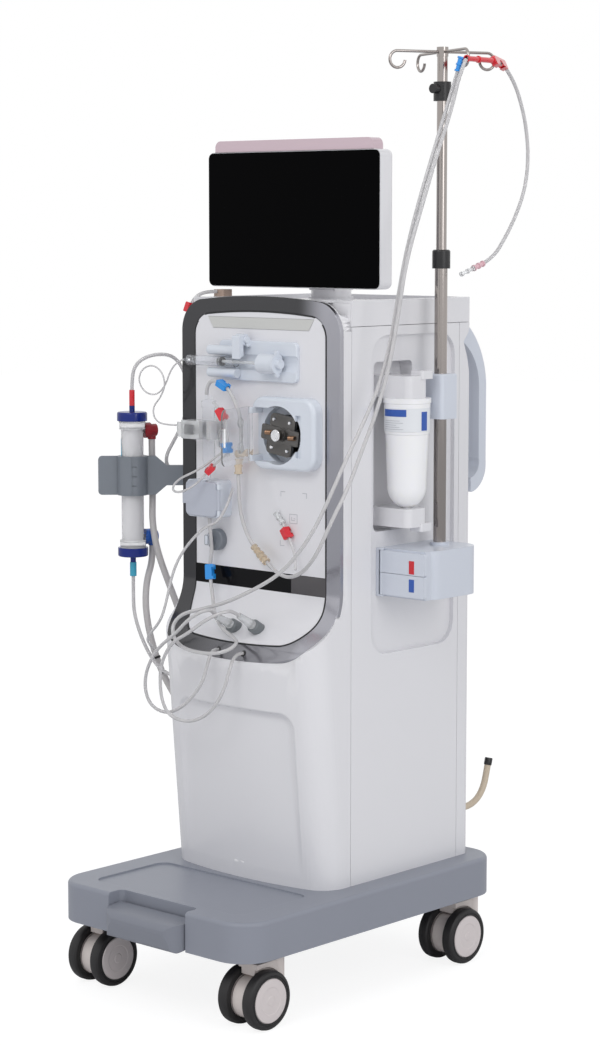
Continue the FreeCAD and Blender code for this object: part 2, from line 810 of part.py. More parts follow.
def chassis():
    """The welded frame inside the casing: four posts, rails and a shelf."""
    posts_x = (-150, 130)
    posts_y = (2, 262)
    top = TOP_Z - 60
    size = 20
    frame = box((-170, 150), (-12, 276), (BASE_TOP, BASE_TOP + 6))
    for x in posts_x:
        for y in posts_y:
            frame = frame.fuse(
                box((x - size / 2, x + size / 2), (y - size / 2, y + size / 2), (BASE_TOP, top))
            )
    for z in (620, top - size):
        for x in posts_x:
            frame = frame.fuse(box((x - size / 2, x + size / 2), posts_y, (z, z + size)))
        for y in posts_y:
            frame = frame.fuse(box(posts_x, (y - size / 2, y + size / 2), (z, z + size)))
    shelf = box((posts_x[0], posts_x[1]), posts_y, (624, 628))
    return frame.fuse(shelf)


def inner_modules():
    """Heater tank, two flow pumps, balance chamber, power unit and control board."""
    floor = BASE_TOP + 6
    tank = rod((-70, 90, floor), (0, 0, 1), 55, 250)
    tank = soften(tank, 10, lies_at(Z_AXIS, floor + 250))
    balance = rounded((10, 110), (40, 120), (floor, floor + 130), 12, Z_AXIS)
    power = box((-110, 90), (190, 245), (floor, floor + 170))
    modules = [tank, balance, power]
    for x in (30, 90):
        motor = rod((x, 165, floor), (0, 0, 1), 22, 90)
        modules.append(motor)
    modules.append(box((-120, 100), (220, 246), (628, 900)))
    modules.append(rod((ROTOR_X, RACE_FLOOR_Y + WALL, ROTOR_Z), (0, 1, 0), 34, 70))
    return modules


def monitor_neck():
    """The swivel column behind the screen, with the tilt bracket at its head."""
    foot = rod((0, NECK_Y, TOP_Z), (0, 0, 1), NECK_R, 14)
    foot = soften(foot, 3, lies_at(Z_AXIS, TOP_Z + 14))
    spigot = rod((0, NECK_Y, TOP_Z - 30), (0, 0, 1), 12, 34)
    half = NECK_WIDTH / 2
    points = [
        (NECK_Y - 24, TOP_Z + 12),
        (NECK_Y + 24, TOP_Z + 12),
        ((NECK_Y + 16, TOP_Z + 80), (TILT_Y + 14, TILT_Z + 8)),
        ((TILT_Y, TILT_Z + 14), (TILT_Y - 14, TILT_Z)),
        ((TILT_Y - 2, TOP_Z + 90), (NECK_Y - 24, TOP_Z + 12)),
    ]
    column = prism_yz(points, -half, half)
    slot = box((-half + 16, half - 16), (TILT_Y - 40, TILT_Y + 22), (TILT_Z - 24, TILT_Z + 30))
    column = column.cut(slot)
    bore = rod((-half - 1, TILT_Y, TILT_Z), (1, 0, 0), TILT_PIN_R + FIT, NECK_WIDTH + 2)
    return foot.fuse([spigot, column]).cut(bore)


def monitor_housing():
    back = SCREEN_Y + GLASS_THICK + HOUSING_DEPTH
    shell = rounded(
        (-SCREEN_HALF - 1.5, SCREEN_HALF + 1.5),
        (SCREEN_Y + GLASS_THICK, back),
        (SCREEN_BOTTOM - 1.5, SCREEN_TOP + 1.5),
        SCREEN_CORNER + 1.5,
        Y_AXIS,
    )
    shell = soften(shell, 9, lies_at(Y_AXIS, back))
    alarm = rounded(
        (-ALARM_HALF, ALARM_HALF),
        (SCREEN_Y + 2, SCREEN_Y + 2 + ALARM_DEPTH),
        (SCREEN_TOP - 16, SCREEN_TOP + ALARM_HEIGHT),
        12,
        Y_AXIS,
    )
    alarm = alarm.cut(box((-220, 220), (0, 100), (SCREEN_TOP - 40, SCREEN_TOP + 1.5)))
    lug_half = NECK_WIDTH / 2 - 16 - GAP
    lug = box((-lug_half, lug_half), (back - 1, TILT_Y), (TILT_Z - 11, TILT_Z + 11))
    lug = lug.fuse(rod((-lug_half, TILT_Y, TILT_Z), (1, 0, 0), 11, 2 * lug_half))
    pin = rod((-NECK_WIDTH / 2, TILT_Y, TILT_Z), (1, 0, 0), TILT_PIN_R, NECK_WIDTH)
    return [shell.fuse([lug, pin]), alarm]


def monitor_glass():
    return rounded(
        (-SCREEN_HALF, SCREEN_HALF),
        (SCREEN_Y, SCREEN_Y + GLASS_THICK),
        (SCREEN_BOTTOM, SCREEN_TOP),
        SCREEN_CORNER,
        Y_AXIS,
    )


def syringe_dock():
    front = PANEL_Y - DOCK_RAISE
    dock = rounded(DOCK_X, (front, PANEL_Y), DOCK_Z, 10, Y_AXIS)
    dock = soften(dock, 2, lies_at(Y_AXIS, front))
    trough = rod((DOCK_X[0] - 1, SYRINGE_Y, SYRINGE_Z), (1, 0, 0), CARRIAGE_R, 200)
    dock = dock.cut(trough)
    for side in (-1, 1):
        z = SYRINGE_Z + side * GRIP_RISE
        grip = rod((GRIP_X[0], GRIP_Y, z), (1, 0, 0), GRIP_R, GRIP_X[1] - GRIP_X[0])
        grip = soften(grip, 2, lies_at(X_AXIS, GRIP_X[0]))
        foot = box((DOCK_X[0] + 4, GRIP_X[1]), (GRIP_Y, front + 1), (z - 5, z + 5))
        dock = dock.fuse(grip).fuse(foot)
    for x in (LEVER_X - GAP - 5, LEVER_X + LEVER_WIDTH + GAP):
        ear = rod((x, GRIP_Y, LEVER_PIVOT_Z), (1, 0, 0), 6, 5)
        ear = ear.fuse(box((x, x + 5), (GRIP_Y, front + 1), (LEVER_PIVOT_Z - 12, LEVER_PIVOT_Z)))
        dock = dock.fuse(ear)
    pin = rod((LEVER_X - 5, GRIP_Y, LEVER_PIVOT_Z), (1, 0, 0), LEVER_PIN_R, LEVER_WIDTH + 10)
    clear = rod((LEVER_X - GAP, GRIP_Y, LEVER_PIVOT_Z), (1, 0, 0), LEVER_HUB_R + GAP, LEVER_WIDTH + 2 * GAP)
    return dock.cut(clear).fuse(pin)


def syringe_lever():
    """The lever that holds the syringe's flange: it swings up about a pin above the grip."""
    start = LEVER_X
    hub = rod((start, GRIP_Y, LEVER_PIVOT_Z), (1, 0, 0), LEVER_HUB_R, LEVER_WIDTH)
    arm = rounded(
        (start, start + LEVER_WIDTH), (GRIP_Y - 15, GRIP_Y - 5), (LEVER_BOTTOM, LEVER_PIVOT_Z + 7), 3, X_AXIS
    )
    groove = rod((start - 1, SYRINGE_Y, SYRINGE_Z), (1, 0, 0), SYRINGE_R + 2, LEVER_WIDTH + 2)
    bore = rod((start - 1, GRIP_Y, LEVER_PIVOT_Z), (1, 0, 0), LEVER_PIN_R + FIT, LEVER_WIDTH + 2)
    return hub.fuse(arm).cut(groove).cut(bore)


def syringe_carriage():
    """The plunger drive with the plunger it pushes."""
    front = PANEL_Y - DOCK_RAISE
    left, right = CARRIAGE_X
    barrel = rod((left, SYRINGE_Y, SYRINGE_Z), (1, 0, 0), CARRIAGE_R - 1, right - left)
    barrel = soften(barrel, 3, lies_at(X_AXIS, left))
    flange = rod((right, SYRINGE_Y, SYRINGE_Z), (1, 0, 0), CARRIAGE_R - 1.5, 4)
    ears = rounded(
        (right, right + 4), (SYRINGE_Y - 5, SYRINGE_Y + 5), (SYRINGE_Z - 23, SYRINGE_Z + 23), 4.9, X_AXIS
    )
    spindle = rod((right + 4, SYRINGE_Y, SYRINGE_Z), (1, 0, 0), 8, 8)
    drive = barrel.fuse([flange, ears, spindle])
    drive = drive.cut(box((left - 5, right + 30), (front - GAP, PANEL_Y), (SYRINGE_Z - 40, SYRINGE_Z + 40)))
    seal_x = -75
    seal = rod((seal_x, SYRINGE_Y, SYRINGE_Z), (1, 0, 0), SYRINGE_R - SYRINGE_WALL - FIT, 8)
    shank = rod((seal_x + 8, SYRINGE_Y, SYRINGE_Z), (1, 0, 0), 3, left - seal_x - 8)
    return [drive, seal.fuse(shank)]


def syringe_barrel():
    length = SYRINGE_RIGHT - SYRINGE_LEFT
    barrel = tube(
        (SYRINGE_LEFT, SYRINGE_Y, SYRINGE_Z), (1, 0, 0), SYRINGE_R, SYRINGE_R - SYRINGE_WALL, length
    )
    end = rod((SYRINGE_LEFT, SYRINGE_Y, SYRINGE_Z), (1, 0, 0), SYRINGE_R, 2)
    tip = Part.makeCone(2.2, 3, 12, V(SYRINGE_LEFT - 12, SYRINGE_Y, SYRINGE_Z), X_AXIS)
    return barrel.fuse([end, tip])


def blood_pump_housing():
    """The pump head: a raised bezel, the round race that the rollers press the tube against, and the
    open channel on its left where the tube goes in and out."""
    front = PANEL_Y - PUMP_RAISE
    bezel = rounded(PUMP_X, (front, PANEL_Y), PUMP_Z, PUMP_CORNER, Y_AXIS)
    bezel = soften(bezel, 7, lies_at(Y_AXIS, front))
    pot = rod((ROTOR_X, PANEL_Y, ROTOR_Z), (0, 1, 0), RACE_R + WALL, RACE_FLOOR_Y - PANEL_Y + WALL)
    housing = bezel.fuse(pot)
    housing = housing.cut(rod((ROTOR_X, front - 1, ROTOR_Z), (0, 1, 0), RACE_R, RACE_FLOOR_Y - front + 1))
    channel = box(
        (PUMP_X[0] - 1, ROTOR_X), (front - 1, PANEL_Y - 2), (ROTOR_Z - RACE_R + 4, ROTOR_Z + RACE_R - 4)
    )
    housing = housing.cut(channel)
    latch = rounded(
        (PUMP_X[1] - 42, PUMP_X[1] - 30),
        (front - 1, front + 6),
        (ROTOR_Z - 36, ROTOR_Z + 36),
        2,
        Y_AXIS,
    )
    housing = housing.cut(latch)
    ear_z = (ROTOR_Z - 46, ROTOR_Z - 36)
    for z in (ear_z, (ROTOR_Z + 36, ROTOR_Z + 46)):
        ear = rod((DOOR_HINGE_X, front - 6, z[0]), (0, 0, 1), 5, z[1] - z[0])
        ear = ear.fuse(box((DOOR_HINGE_X - 5, DOOR_HINGE_X + 5), (front - 6, PANEL_Y), z))
        housing = housing.fuse(ear)
    pin = rod((DOOR_HINGE_X, front - 6, ROTOR_Z - 60), (0, 0, 1), HINGE_PIN_R + FIT, 120)
    housing = housing.cut(pin)
    return housing.cut(rod((ROTOR_X, RACE_FLOOR_Y - 5, ROTOR_Z), (0, 1, 0), SHAFT_R + FIT, 20))


def pump_rotor():
    """The rotor: two plates with a bridge, spring arms, a crank knob, and two rollers on pins."""
    front = PANEL_Y - PUMP_RAISE
    back = RACE_FLOOR_Y - 2
    plate = rod((ROTOR_X, back - 3, ROTOR_Z), (0, 1, 0), 34, 3)
    middle = rod((ROTOR_X, front + 6, ROTOR_Z), (0, 1, 0), 12, back - front - 6)
    bridge = rounded(
        (ROTOR_X - 43, ROTOR_X + 43), (front + 8, front + 12), (ROTOR_Z - 13, ROTOR_Z + 13), 4, Y_AXIS
    )
    top_plate = rounded(
        (ROTOR_X - 27, ROTOR_X + 30), (front + 10, front + 16), (ROTOR_Z + 8, ROTOR_Z + 35), 8, Y_AXIS
    )
    low_plate = rounded(
        (ROTOR_X - 30, ROTOR_X + 27), (front + 10, front + 16), (ROTOR_Z - 35, ROTOR_Z - 8), 8, Y_AXIS
    )
    foot = rod((ROTOR_X, back, ROTOR_Z), (0, 1, 0), SHAFT_R, RACE_FLOOR_Y + WALL - back - GAP)
    knob = tube((ROTOR_X, front - 2, ROTOR_Z), (0, 1, 0), 9, 5.5, 9)
    knob = knob.fuse(box((ROTOR_X - 1.5, ROTOR_X + 1.5), (front, front + 7), (ROTOR_Z - 7, ROTOR_Z + 7)))
    rotor = plate.fuse([middle, bridge, top_plate, low_plate, foot, knob])
    pins = []
    rollers = []
    for side in (-1, 1):
        x = ROTOR_X + side * ROLLER_OFFSET
        pins.append(rod((x, front + 8, ROTOR_Z), (0, 1, 0), 2.5, back - front - 9))
        rollers.append(
            tube((x, front + 12.5, ROTOR_Z), (0, 1, 0), ROLLER_R, 2.5 + FIT, back - front - 16.5)
        )
        for fork in (-1, 1):
            z = ROTOR_Z + fork * 11
            guide = rod((x - side * 12, front + 8, z), (0, 1, 0), 3, back - front - 10)
            pins.append(guide)
    rotor = rotor.fuse(pins)
    solids = [rotor] + rollers
    for solid in solids:
        solid.rotate(V(ROTOR_X, 0, ROTOR_Z), Y_AXIS, -ROTOR_TILT)
    return solids


def pump_door():
    """The clear door, drawn shut and then swung open about its pin."""
    front = PANEL_Y - PUMP_RAISE
    x0 = DOOR_HINGE_X + 6
    z = (ROTOR_Z - DOOR_HEIGHT / 2, ROTOR_Z + DOOR_HEIGHT / 2)
    outer = rounded((x0 - 14, x0 + DOOR_LENGTH), (front - 7.5, front - 4.5), z, 14, Y_AXIS)
    outer = outer.cut(box((x0 - 20, x0), (front - 20, front + 5), (z[0] - 1, z[1] + 1)))
    door = outer
    for dz in (-22, 22):
        door = door.fuse(rod((x0 + 30, front - 10, ROTOR_Z + dz), (0, 1, 0), 8, 4))
    grip = rounded(
        (x0 + DOOR_LENGTH - 14, x0 + DOOR_LENGTH - 4),
        (front - 14, front - 5),
        (ROTOR_Z - 16, ROTOR_Z + 16),
        3,
        X_AXIS,
    )
    knuckle = rod((DOOR_HINGE_X, front - 6, ROTOR_Z - 36 + GAP), (0, 0, 1), 5, 72 - 2 * GAP)
    strap = box((DOOR_HINGE_X, x0 + 4), (front - 8, front - 4), (ROTOR_Z - 34, ROTOR_Z + 34))
    pin = rod((DOOR_HINGE_X, front - 6, ROTOR_Z - 46), (0, 0, 1), HINGE_PIN_R, 92)
    door = door.fuse([grip, strap, knuckle, pin])
    door.rotate(V(DOOR_HINGE_X, front - 6, 0), Z_AXIS, -DOOR_OPEN)
    return door


def line_clip():
    """The clear spring clip that holds the venous chamber."""
    clip = rounded(CLIP_X, (CHAMBER_Y - 15, CHAMBER_Y + 15), CLIP_Z, 4, Z_AXIS)
    clip = clip.cut(rod((CHAMBER_X, CHAMBER_Y, CLIP_Z[0] - 1), (0, 0, 1), CHAMBER_R + GAP, 60))
    mouth = box((CHAMBER_X - 9, CHAMBER_X + 9), (CHAMBER_Y - 30, CHAMBER_Y), (CLIP_Z[0] - 1, CLIP_Z[1] + 1))
    window = rounded(
        (CLIP_X[0] + 8, CHAMBER_X - 18),
        (CHAMBER_Y - 30, CHAMBER_Y + 9),
        (CLIP_Z[0] + 7, CLIP_Z[1] - 7),
        3,
        Y_AXIS,
    )
    clip = clip.cut(mouth).cut(window)
    post = box((CHAMBER_X - 30, CHAMBER_X + 4), (CHAMBER_Y + 12.5, PANEL_Y), (CLIP_Z[0] + 6, CLIP_Z[1] - 6))
    tab = rounded(
        (CLIP_X[0] - 11, CLIP_X[0] + 1),
        (CHAMBER_Y - 12, CHAMBER_Y - 8),
        (CLIP_Z[0] + 2, CLIP_Z[1] - 4),
        1.5,
        X_AXIS,
    )
    return clip.fuse([post, tab])


def venous_chamber():
    """The drip chamber: cap with two ports, clear barrel, cone and outlet."""
    low, high = CHAMBER_Z
    profile = [
        V(0, 0, DETECTOR_Z[1]),
        V(3.2, 0, DETECTOR_Z[1]),
        V(3.2, 0, low - 3),
        V(CHAMBER_R - 2, 0, low + 10),
        V(CHAMBER_R, 0, low + 18),
        V(CHAMBER_R, 0, high - 8),
        V(CHAMBER_R + 2, 0, high - 8),
        V(CHAMBER_R + 2, 0, high + 2),
        V(CHAMBER_R - 1, 0, high + 5),
        V(0, 0, high + 5),
        V(0, 0, DETECTOR_Z[1]),
    ]
    chamber = Part.Face(path(profile)).revolve(V(0, 0, 0), Z_AXIS, 360)
    for x in (-5, 5):
        chamber = chamber.fuse(rod((x, 0, high + 4), (0, 0, 1), 3.2, 9))
    chamber.translate(V(CHAMBER_X, CHAMBER_Y, 0))
    return chamber


def detector_box():
    """The bubble detector's case and, below it, the round venous clamp with its slot."""
    front = PANEL_Y - DETECTOR_RAISE
    case = rounded(DETECTOR_X, (front, PANEL_Y), DETECTOR_Z, 8, Y_AXIS)
    channel = rod((CHAMBER_X, CHAMBER_Y, DETECTOR_Z[0] - 1), (0, 0, 1), 4, 80)
    channel = channel.fuse(
        box(
            (CHAMBER_X - 4, CHAMBER_X + 4),
            (front - 1, CHAMBER_Y),
            (DETECTOR_Z[0] - 1, DETECTOR_Z[1] + 1),
        )
    )
    case = case.cut(channel)
    for z in (DETECTOR_Z[0] + 4, DETECTOR_Z[1] - 14):
        ear = rod((DETECTOR_X[1] + 3, front - 2.3, z), (0, 0, 1), 3, 10)
        ear = ear.fuse(box((DETECTOR_X[1] - 1, DETECTOR_X[1] + 6), (front - 1, front + 6), (z, z + 10)))
        case = case.fuse(ear)
    pin_hole = rod((DETECTOR_X[1] + 3, front - 2.3, DETECTOR_Z[0]), (0, 0, 1), 1.5 + FIT, 70)
    case = case.cut(pin_hole)
    clamp = rod(
        (CHAMBER_X - 2, PANEL_Y - VENOUS_CLAMP_RAISE, VENOUS_CLAMP_Z),
        (0, 1, 0),
        VENOUS_CLAMP_R,
        VENOUS_CLAMP_RAISE,
    )
    clamp = soften(clamp, 3, lies_at(Y_AXIS, PANEL_Y - VENOUS_CLAMP_RAISE))
    head = rounded(
        (CHAMBER_X - 14, CHAMBER_X - 5),
        (PANEL_Y - VENOUS_CLAMP_RAISE - 12, PANEL_Y - VENOUS_CLAMP_RAISE + 1),
        (VENOUS_CLAMP_Z - 9, VENOUS_CLAMP_Z + 9),
        2.5,
        Y_AXIS,
    )
    return [case, clamp.fuse(head)]


def detector_lid():
    front = PANEL_Y - DETECTOR_RAISE
    low = front - GAP - LID_THICK
    lid = rounded(
        (DETECTOR_X[0], DETECTOR_X[1] - 2),
        (low, front - GAP),
        (DETECTOR_Z[0] + 2, DETECTOR_Z[1] - 2),
        9,
        Y_AXIS,
    )
    lid = soften(lid, 2, lies_at(Y_AXIS, low))
    tab = rounded(
        (DETECTOR_X[0] - 7, DETECTOR_X[0] + 2),
        (low, front + 2),
        (DETECTOR_Z[0] + 22, DETECTOR_Z[0] + 42),
        1.5,
        X_AXIS,
    )
    tab = tab.cut(box((DETECTOR_X[0] - GAP, DETECTOR_X[0] + 5), (front - GAP, front + 5), DETECTOR_Z))
    hinge_x = DETECTOR_X[1] + 3
    span = (DETECTOR_Z[0] + 14 + GAP, DETECTOR_Z[1] - 14 - GAP)
    knuckle = rod((hinge_x, front - 2.3, span[0]), (0, 0, 1), 3, span[1] - span[0])
    strap = box((DETECTOR_X[1] - 6, hinge_x), (low + 0.5, front - GAP), span)
    pin = rod((hinge_x, front - 2.3, DETECTOR_Z[0] + 4), (0, 0, 1), 1.5, DETECTOR_Z[1] - DETECTOR_Z[0] - 8)
    return lid.fuse([tab, knuckle, strap, pin])


def arm_frame():
    """The length and direction of the holder's arm, from the dialyser to its pivot."""
    dx = ARM_PIVOT[0] - DIALYSER_X
    dy = ARM_PIVOT[1] - DIALYSER_Y
    return math.hypot(dx, dy), math.degrees(math.atan2(dy, dx))


def place_arm(shape):
    """Moves a piece drawn with the dialyser at the origin and the arm along +x."""
    turn = arm_frame()[1]
    shape.rotate(V(0, 0, 0), Z_AXIS, turn)
    shape.translate(V(DIALYSER_X, DIALYSER_Y, 0))
    return shape


def holder_arm():
    """The swinging arm with the fixed half of the clamp."""
    length = arm_frame()[0]
    height = HOLDER_Z[1] - HOLDER_Z[0]
    outer = DIALYSER_R + GAP + HOLDER_THICK
    ring = tube((0, 0, HOLDER_Z[0]), (0, 0, 1), outer, DIALYSER_R + GAP, height)
    ring = ring.cut(box((-60, 0), (-60, 60), (HOLDER_Z[0] - 1, HOLDER_Z[1] + 1)))
    points = [
        V(outer - 5, 0, HOLDER_Z[0]),
        V(outer + 14, 0, HOLDER_Z[0]),
        V(outer + 34, 0, ARM_Z[0]),
        V(length, 0, ARM_Z[0]),
        V(length, 0, ARM_Z[1]),
        V(outer + 34, 0, ARM_Z[1]),
        V(outer + 14, 0, HOLDER_Z[1]),
        V(outer - 5, 0, HOLDER_Z[1]),
        V(outer - 5, 0, HOLDER_Z[0]),
    ]
    web = prism(points, V(0, ARM_THICK, 0))
    web.translate(V(0, -ARM_THICK / 2, 0))
    web = web.cut(rod((0, 0, HOLDER_Z[0] - 1), (0, 0, 1), DIALYSER_R + GAP, height + 2))
    eye = rod((length, 0, ARM_Z[0]), (0, 0, 1), PIVOT_R + 5, ARM_Z[1] - ARM_Z[0])
    knuckles = []
    for z in (HOLDER_Z[0], HOLDER_Z[1] - 16):
        knuckles.append(rod((0, outer + 3, z), (0, 0, 1), 4.5, 16))
    own_half = (HOLDER_Z[0] + 16, HOLDER_Z[1] - 16)
    ring = ring.cut(rod((0, outer + 3, own_half[0]), (0, 0, 1), 4.5 + GAP, own_half[1] - own_half[0]))
    arm = ring.fuse([web, eye] + knuckles)
    arm = arm.cut(rod((0, outer + 3, HOLDER_Z[0] - 1), (0, 0, 1), HINGE_PIN_R + FIT, height + 2))
    arm = arm.cut(rod((length, 0, ARM_Z[0] - 1), (0, 0, 1), PIVOT_R + FIT, 60))
    for z in (HOLDER_Z[0] + 18, (HOLDER_Z[0] + HOLDER_Z[1]) / 2, HOLDER_Z[1] - 18):
        groove = tube((0, 0, z - 1), (0, 0, 1), outer + 3, outer - 1.5, 2)
        arm = arm.cut(
            groove.cut(box((-60, 60), (0, 60), (z - 2, z + 2))).cut(
                box((8, 60), (-60, 60), (z - 2, z + 2))
            )
        )
    return place_arm(arm)


def holder_jaw():
    """The sprung half of the clamp with its flat finger paddle."""
    height = HOLDER_Z[1] - HOLDER_Z[0]
    outer = DIALYSER_R + GAP + HOLDER_THICK
    ring = tube((0, 0, HOLDER_Z[0]), (0, 0, 1), outer, DIALYSER_R + GAP, height)
    ring = ring.cut(box((-GAP, 60), (-60, 60), (HOLDER_Z[0] - 1, HOLDER_Z[1] + 1)))
    gap_z = (HOLDER_Z[0] + 16 + GAP, HOLDER_Z[1] - 16 - GAP)
    for z in (HOLDER_Z[0] - 1, gap_z[1]):
        ring = ring.cut(rod((0, outer + 3, z), (0, 0, 1), 4.5 + GAP, 17 + GAP))
    knuckle = rod((0, outer + 3, gap_z[0]), (0, 0, 1), 4.5, gap_z[1] - gap_z[0])
    pin = rod((0, outer + 3, HOLDER_Z[0]), (0, 0, 1), HINGE_PIN_R, height)
    paddle = rounded((-outer - 34, -outer + 6), (-3, 3), HOLDER_Z, 7, Y_AXIS)
    paddle = paddle.cut(rod((0, 0, HOLDER_Z[0] - 1), (0, 0, 1), DIALYSER_R + GAP, height + 2))
    jaw = ring.fuse([knuckle, pin, paddle])
    return place_arm(jaw)


def dialyser():
    """Casing with its end flanges, two caps with blood ports and two side ports."""
    low, high = DIALYSER_Z
    case = rod((0, 0, low), (0, 0, 1), DIALYSER_R, high - low)
    for z in (low, high - 14):
        case = case.fuse(rod((0, 0, z), (0, 0, 1), DIALYSER_R + 3, 14))
    plugs = []
    for z in (low + 18, high - 18):
        case = case.fuse(rod((0, 0, z), SIDE_PORT, 5, DIALYSER_R + 8))
        plug = rod((0, 0, z), SIDE_PORT, 11, DIALYSER_R + 26)
        plug = plug.fuse(rod((0, 0, z), SIDE_PORT, 14, DIALYSER_R + 14))
        elbow = V(*SIDE_PORT) * ELBOW_REACH + V(0, 0, z)
        plug = plug.fuse(rod(elbow, (0, 0, -1), 7.5, ELBOW_DROP))
        plug = plug.cut(rod((0, 0, z - 40), (0, 0, 1), DIALYSER_R + 4, 80))
        plugs.append(plug.cut(rod((0, 0, z), SIDE_PORT, 5, DIALYSER_R + 8)))
    top = rod((0, 0, high), (0, 0, 1), CAP_R, CAP_HEIGHT)
    top = soften(top, 3, lies_at(Z_AXIS, high + CAP_HEIGHT))
    top = top.fuse(rod((0, 0, high + CAP_HEIGHT - 1), (0, 0, 1), 5, 12))
    bottom = rod((0, 0, low - CAP_HEIGHT), (0, 0, 1), CAP_R, CAP_HEIGHT)
    bottom = soften(bottom, 3, lies_at(Z_AXIS, low - CAP_HEIGHT))
    bottom = bottom.fuse(rod((0, 0, low - CAP_HEIGHT - 11), (0, 0, 1), 5, 12))
    red = tube((0, 0, high + CAP_HEIGHT + 11), (0, 0, 1), 5, 3.5, 28)
    teal = tube((0, 0, low - CAP_HEIGHT - 36), (0, 0, 1), 6, 3.5, 25)
    solids = [case, top, bottom] + plugs + [red, teal]
    for solid in solids:
        solid.translate(V(DIALYSER_X, DIALYSER_Y, 0))
    return solids


def arm_bracket():
    """The pivot bracket of the dialyser arm on the left side."""
    x, y = ARM_PIVOT
    bracket = box((x, -BODY_HALF), (y - 9, y + 9), (ARM_Z[0] - 12, ARM_Z[1] + 12))
    bracket = bracket.fuse(rod((x, y, ARM_Z[0] - 12), (0, 0, 1), 10, ARM_Z[1] - ARM_Z[0] + 24))
    clear = rod((x, y, ARM_Z[0] - GAP), (0, 0, 1), PIVOT_R + 7, ARM_Z[1] - ARM_Z[0] + 2 * GAP)
    clear = clear.fuse(box((x - 30, x + 4), (y - 40, y + 40), (ARM_Z[0] - GAP, ARM_Z[1] + GAP)))
    bracket = bracket.cut(clear)
    pin = rod((x, y, ARM_Z[0] - 12), (0, 0, 1), PIVOT_R, ARM_Z[1] - ARM_Z[0] + 24)
    return bracket.fuse(pin)


def cartridge():
    low, high = CARTRIDGE_Z
    waist = CARTRIDGE_R - CARTRIDGE_TAPER
    profile = [
        V(0, 0, low - SPIGOT_LENGTH),
        V(SPIGOT_R, 0, low - SPIGOT_LENGTH),
        V(SPIGOT_R, 0, low + 1),
        (V(waist - 9, 0, low + 12), V(waist, 0, low + 38)),
        V(CARTRIDGE_R, 0, high - 62),
        V(CARTRIDGE_R + 1.5, 0, high - 60),
        V(CARTRIDGE_R + 2.5, 0, high - 9),
        V(CARTRIDGE_RIM_R, 0, high - 8),
        V(CARTRIDGE_RIM_R, 0, high),
        V(SPIGOT_R, 0, high),
        V(SPIGOT_R, 0, high + SPIGOT_LENGTH),
        V(0, 0, high + SPIGOT_LENGTH),
        V(0, 0, low - SPIGOT_LENGTH),
    ]
    body = Part.Face(path(profile)).revolve(V(0, 0, 0), Z_AXIS, 360)
    body.translate(V(CARTRIDGE_X, CARTRIDGE_Y, 0))
    return body


def cartridge_arm(bottom, top, sign):
    """One arm of the cartridge holder. sign is 1 for the upper arm, whose socket opens downwards."""
    wall = BODY_HALF - RECESS_DEPTH
    width = 2 * 26
    arm = rounded(
        (NICHE_X, CARTRIDGE_X + 26), (CARTRIDGE_Y - width / 2, CARTRIDGE_Y + width / 2), (bottom, top), 12, Z_AXIS
    )
    root = box((NICHE_X, wall), (CARTRIDGE_Y - width / 2, CARTRIDGE_Y + width / 2), (bottom, top))
    arm = arm.fuse(root)
    face = bottom if sign > 0 else top
    socket = rod((CARTRIDGE_X, CARTRIDGE_Y, face), (0, 0, sign), SPIGOT_R + 0.5, SPIGOT_LENGTH + 0.5)
    latch_z = (top - 6, top + 8) if sign > 0 else (bottom - 8, bottom + 6)
    latch = rounded(
        (CARTRIDGE_X + 2, CARTRIDGE_X + 30), (CARTRIDGE_Y + 4, CARTRIDGE_Y + 34), latch_z, 4, Z_AXIS
    )
    return arm.fuse(latch).cut(socket).removeSplitter()


def pole_lower():
    foot = BOX_Z[1] + 5
    lower = tube((POLE_X, POLE_Y, foot), (0, 0, 1), POLE_R, POLE_BORE, POLE_TOP - foot)
    collar = tube((POLE_X, POLE_Y, POLE_TOP), (0, 0, 1), COLLAR_R, POLE_BORE, COLLAR_HEIGHT)
    outer = lies_at(Z_AXIS, POLE_TOP + COLLAR_HEIGHT)
    collar = soften(collar, 4, lambda e: outer(e) and e.Length > 60)
    return [lower, collar]


def hook(angle):
    """One bag hook: a rod out from the hub, bent down and back up at its end."""
    start = 6
    reach = HOOK_REACH
    bend = HOOK_BEND
    points = [
        V(start, 0, 0),
        V(reach, 0, 0),
        (V(reach + bend * 0.707, 0, -bend * 0.293), V(reach + bend, 0, -bend)),
        (V(reach + bend * 0.707, 0, -bend * 1.707), V(reach, 0, -2 * bend)),
        (V(reach - bend * 0.707, 0, -bend * 1.707), V(reach - bend, 0, -bend * 1.1)),
    ]
    ring = Part.Wire([Part.Circle(points[0], X_AXIS, HOOK_ROD_R).toShape()])
    shape = path(points).makePipeShell([ring], True, True)
    shape.rotate(V(0, 0, 0), Z_AXIS, angle)
    shape.translate(V(POLE_X, POLE_Y, HOOK_Z))
    return shape


def off_pole(x, y, z):
    """A point given sideways from the pole's axis, at a height."""
    return (POLE_X + x, POLE_Y + y, z)


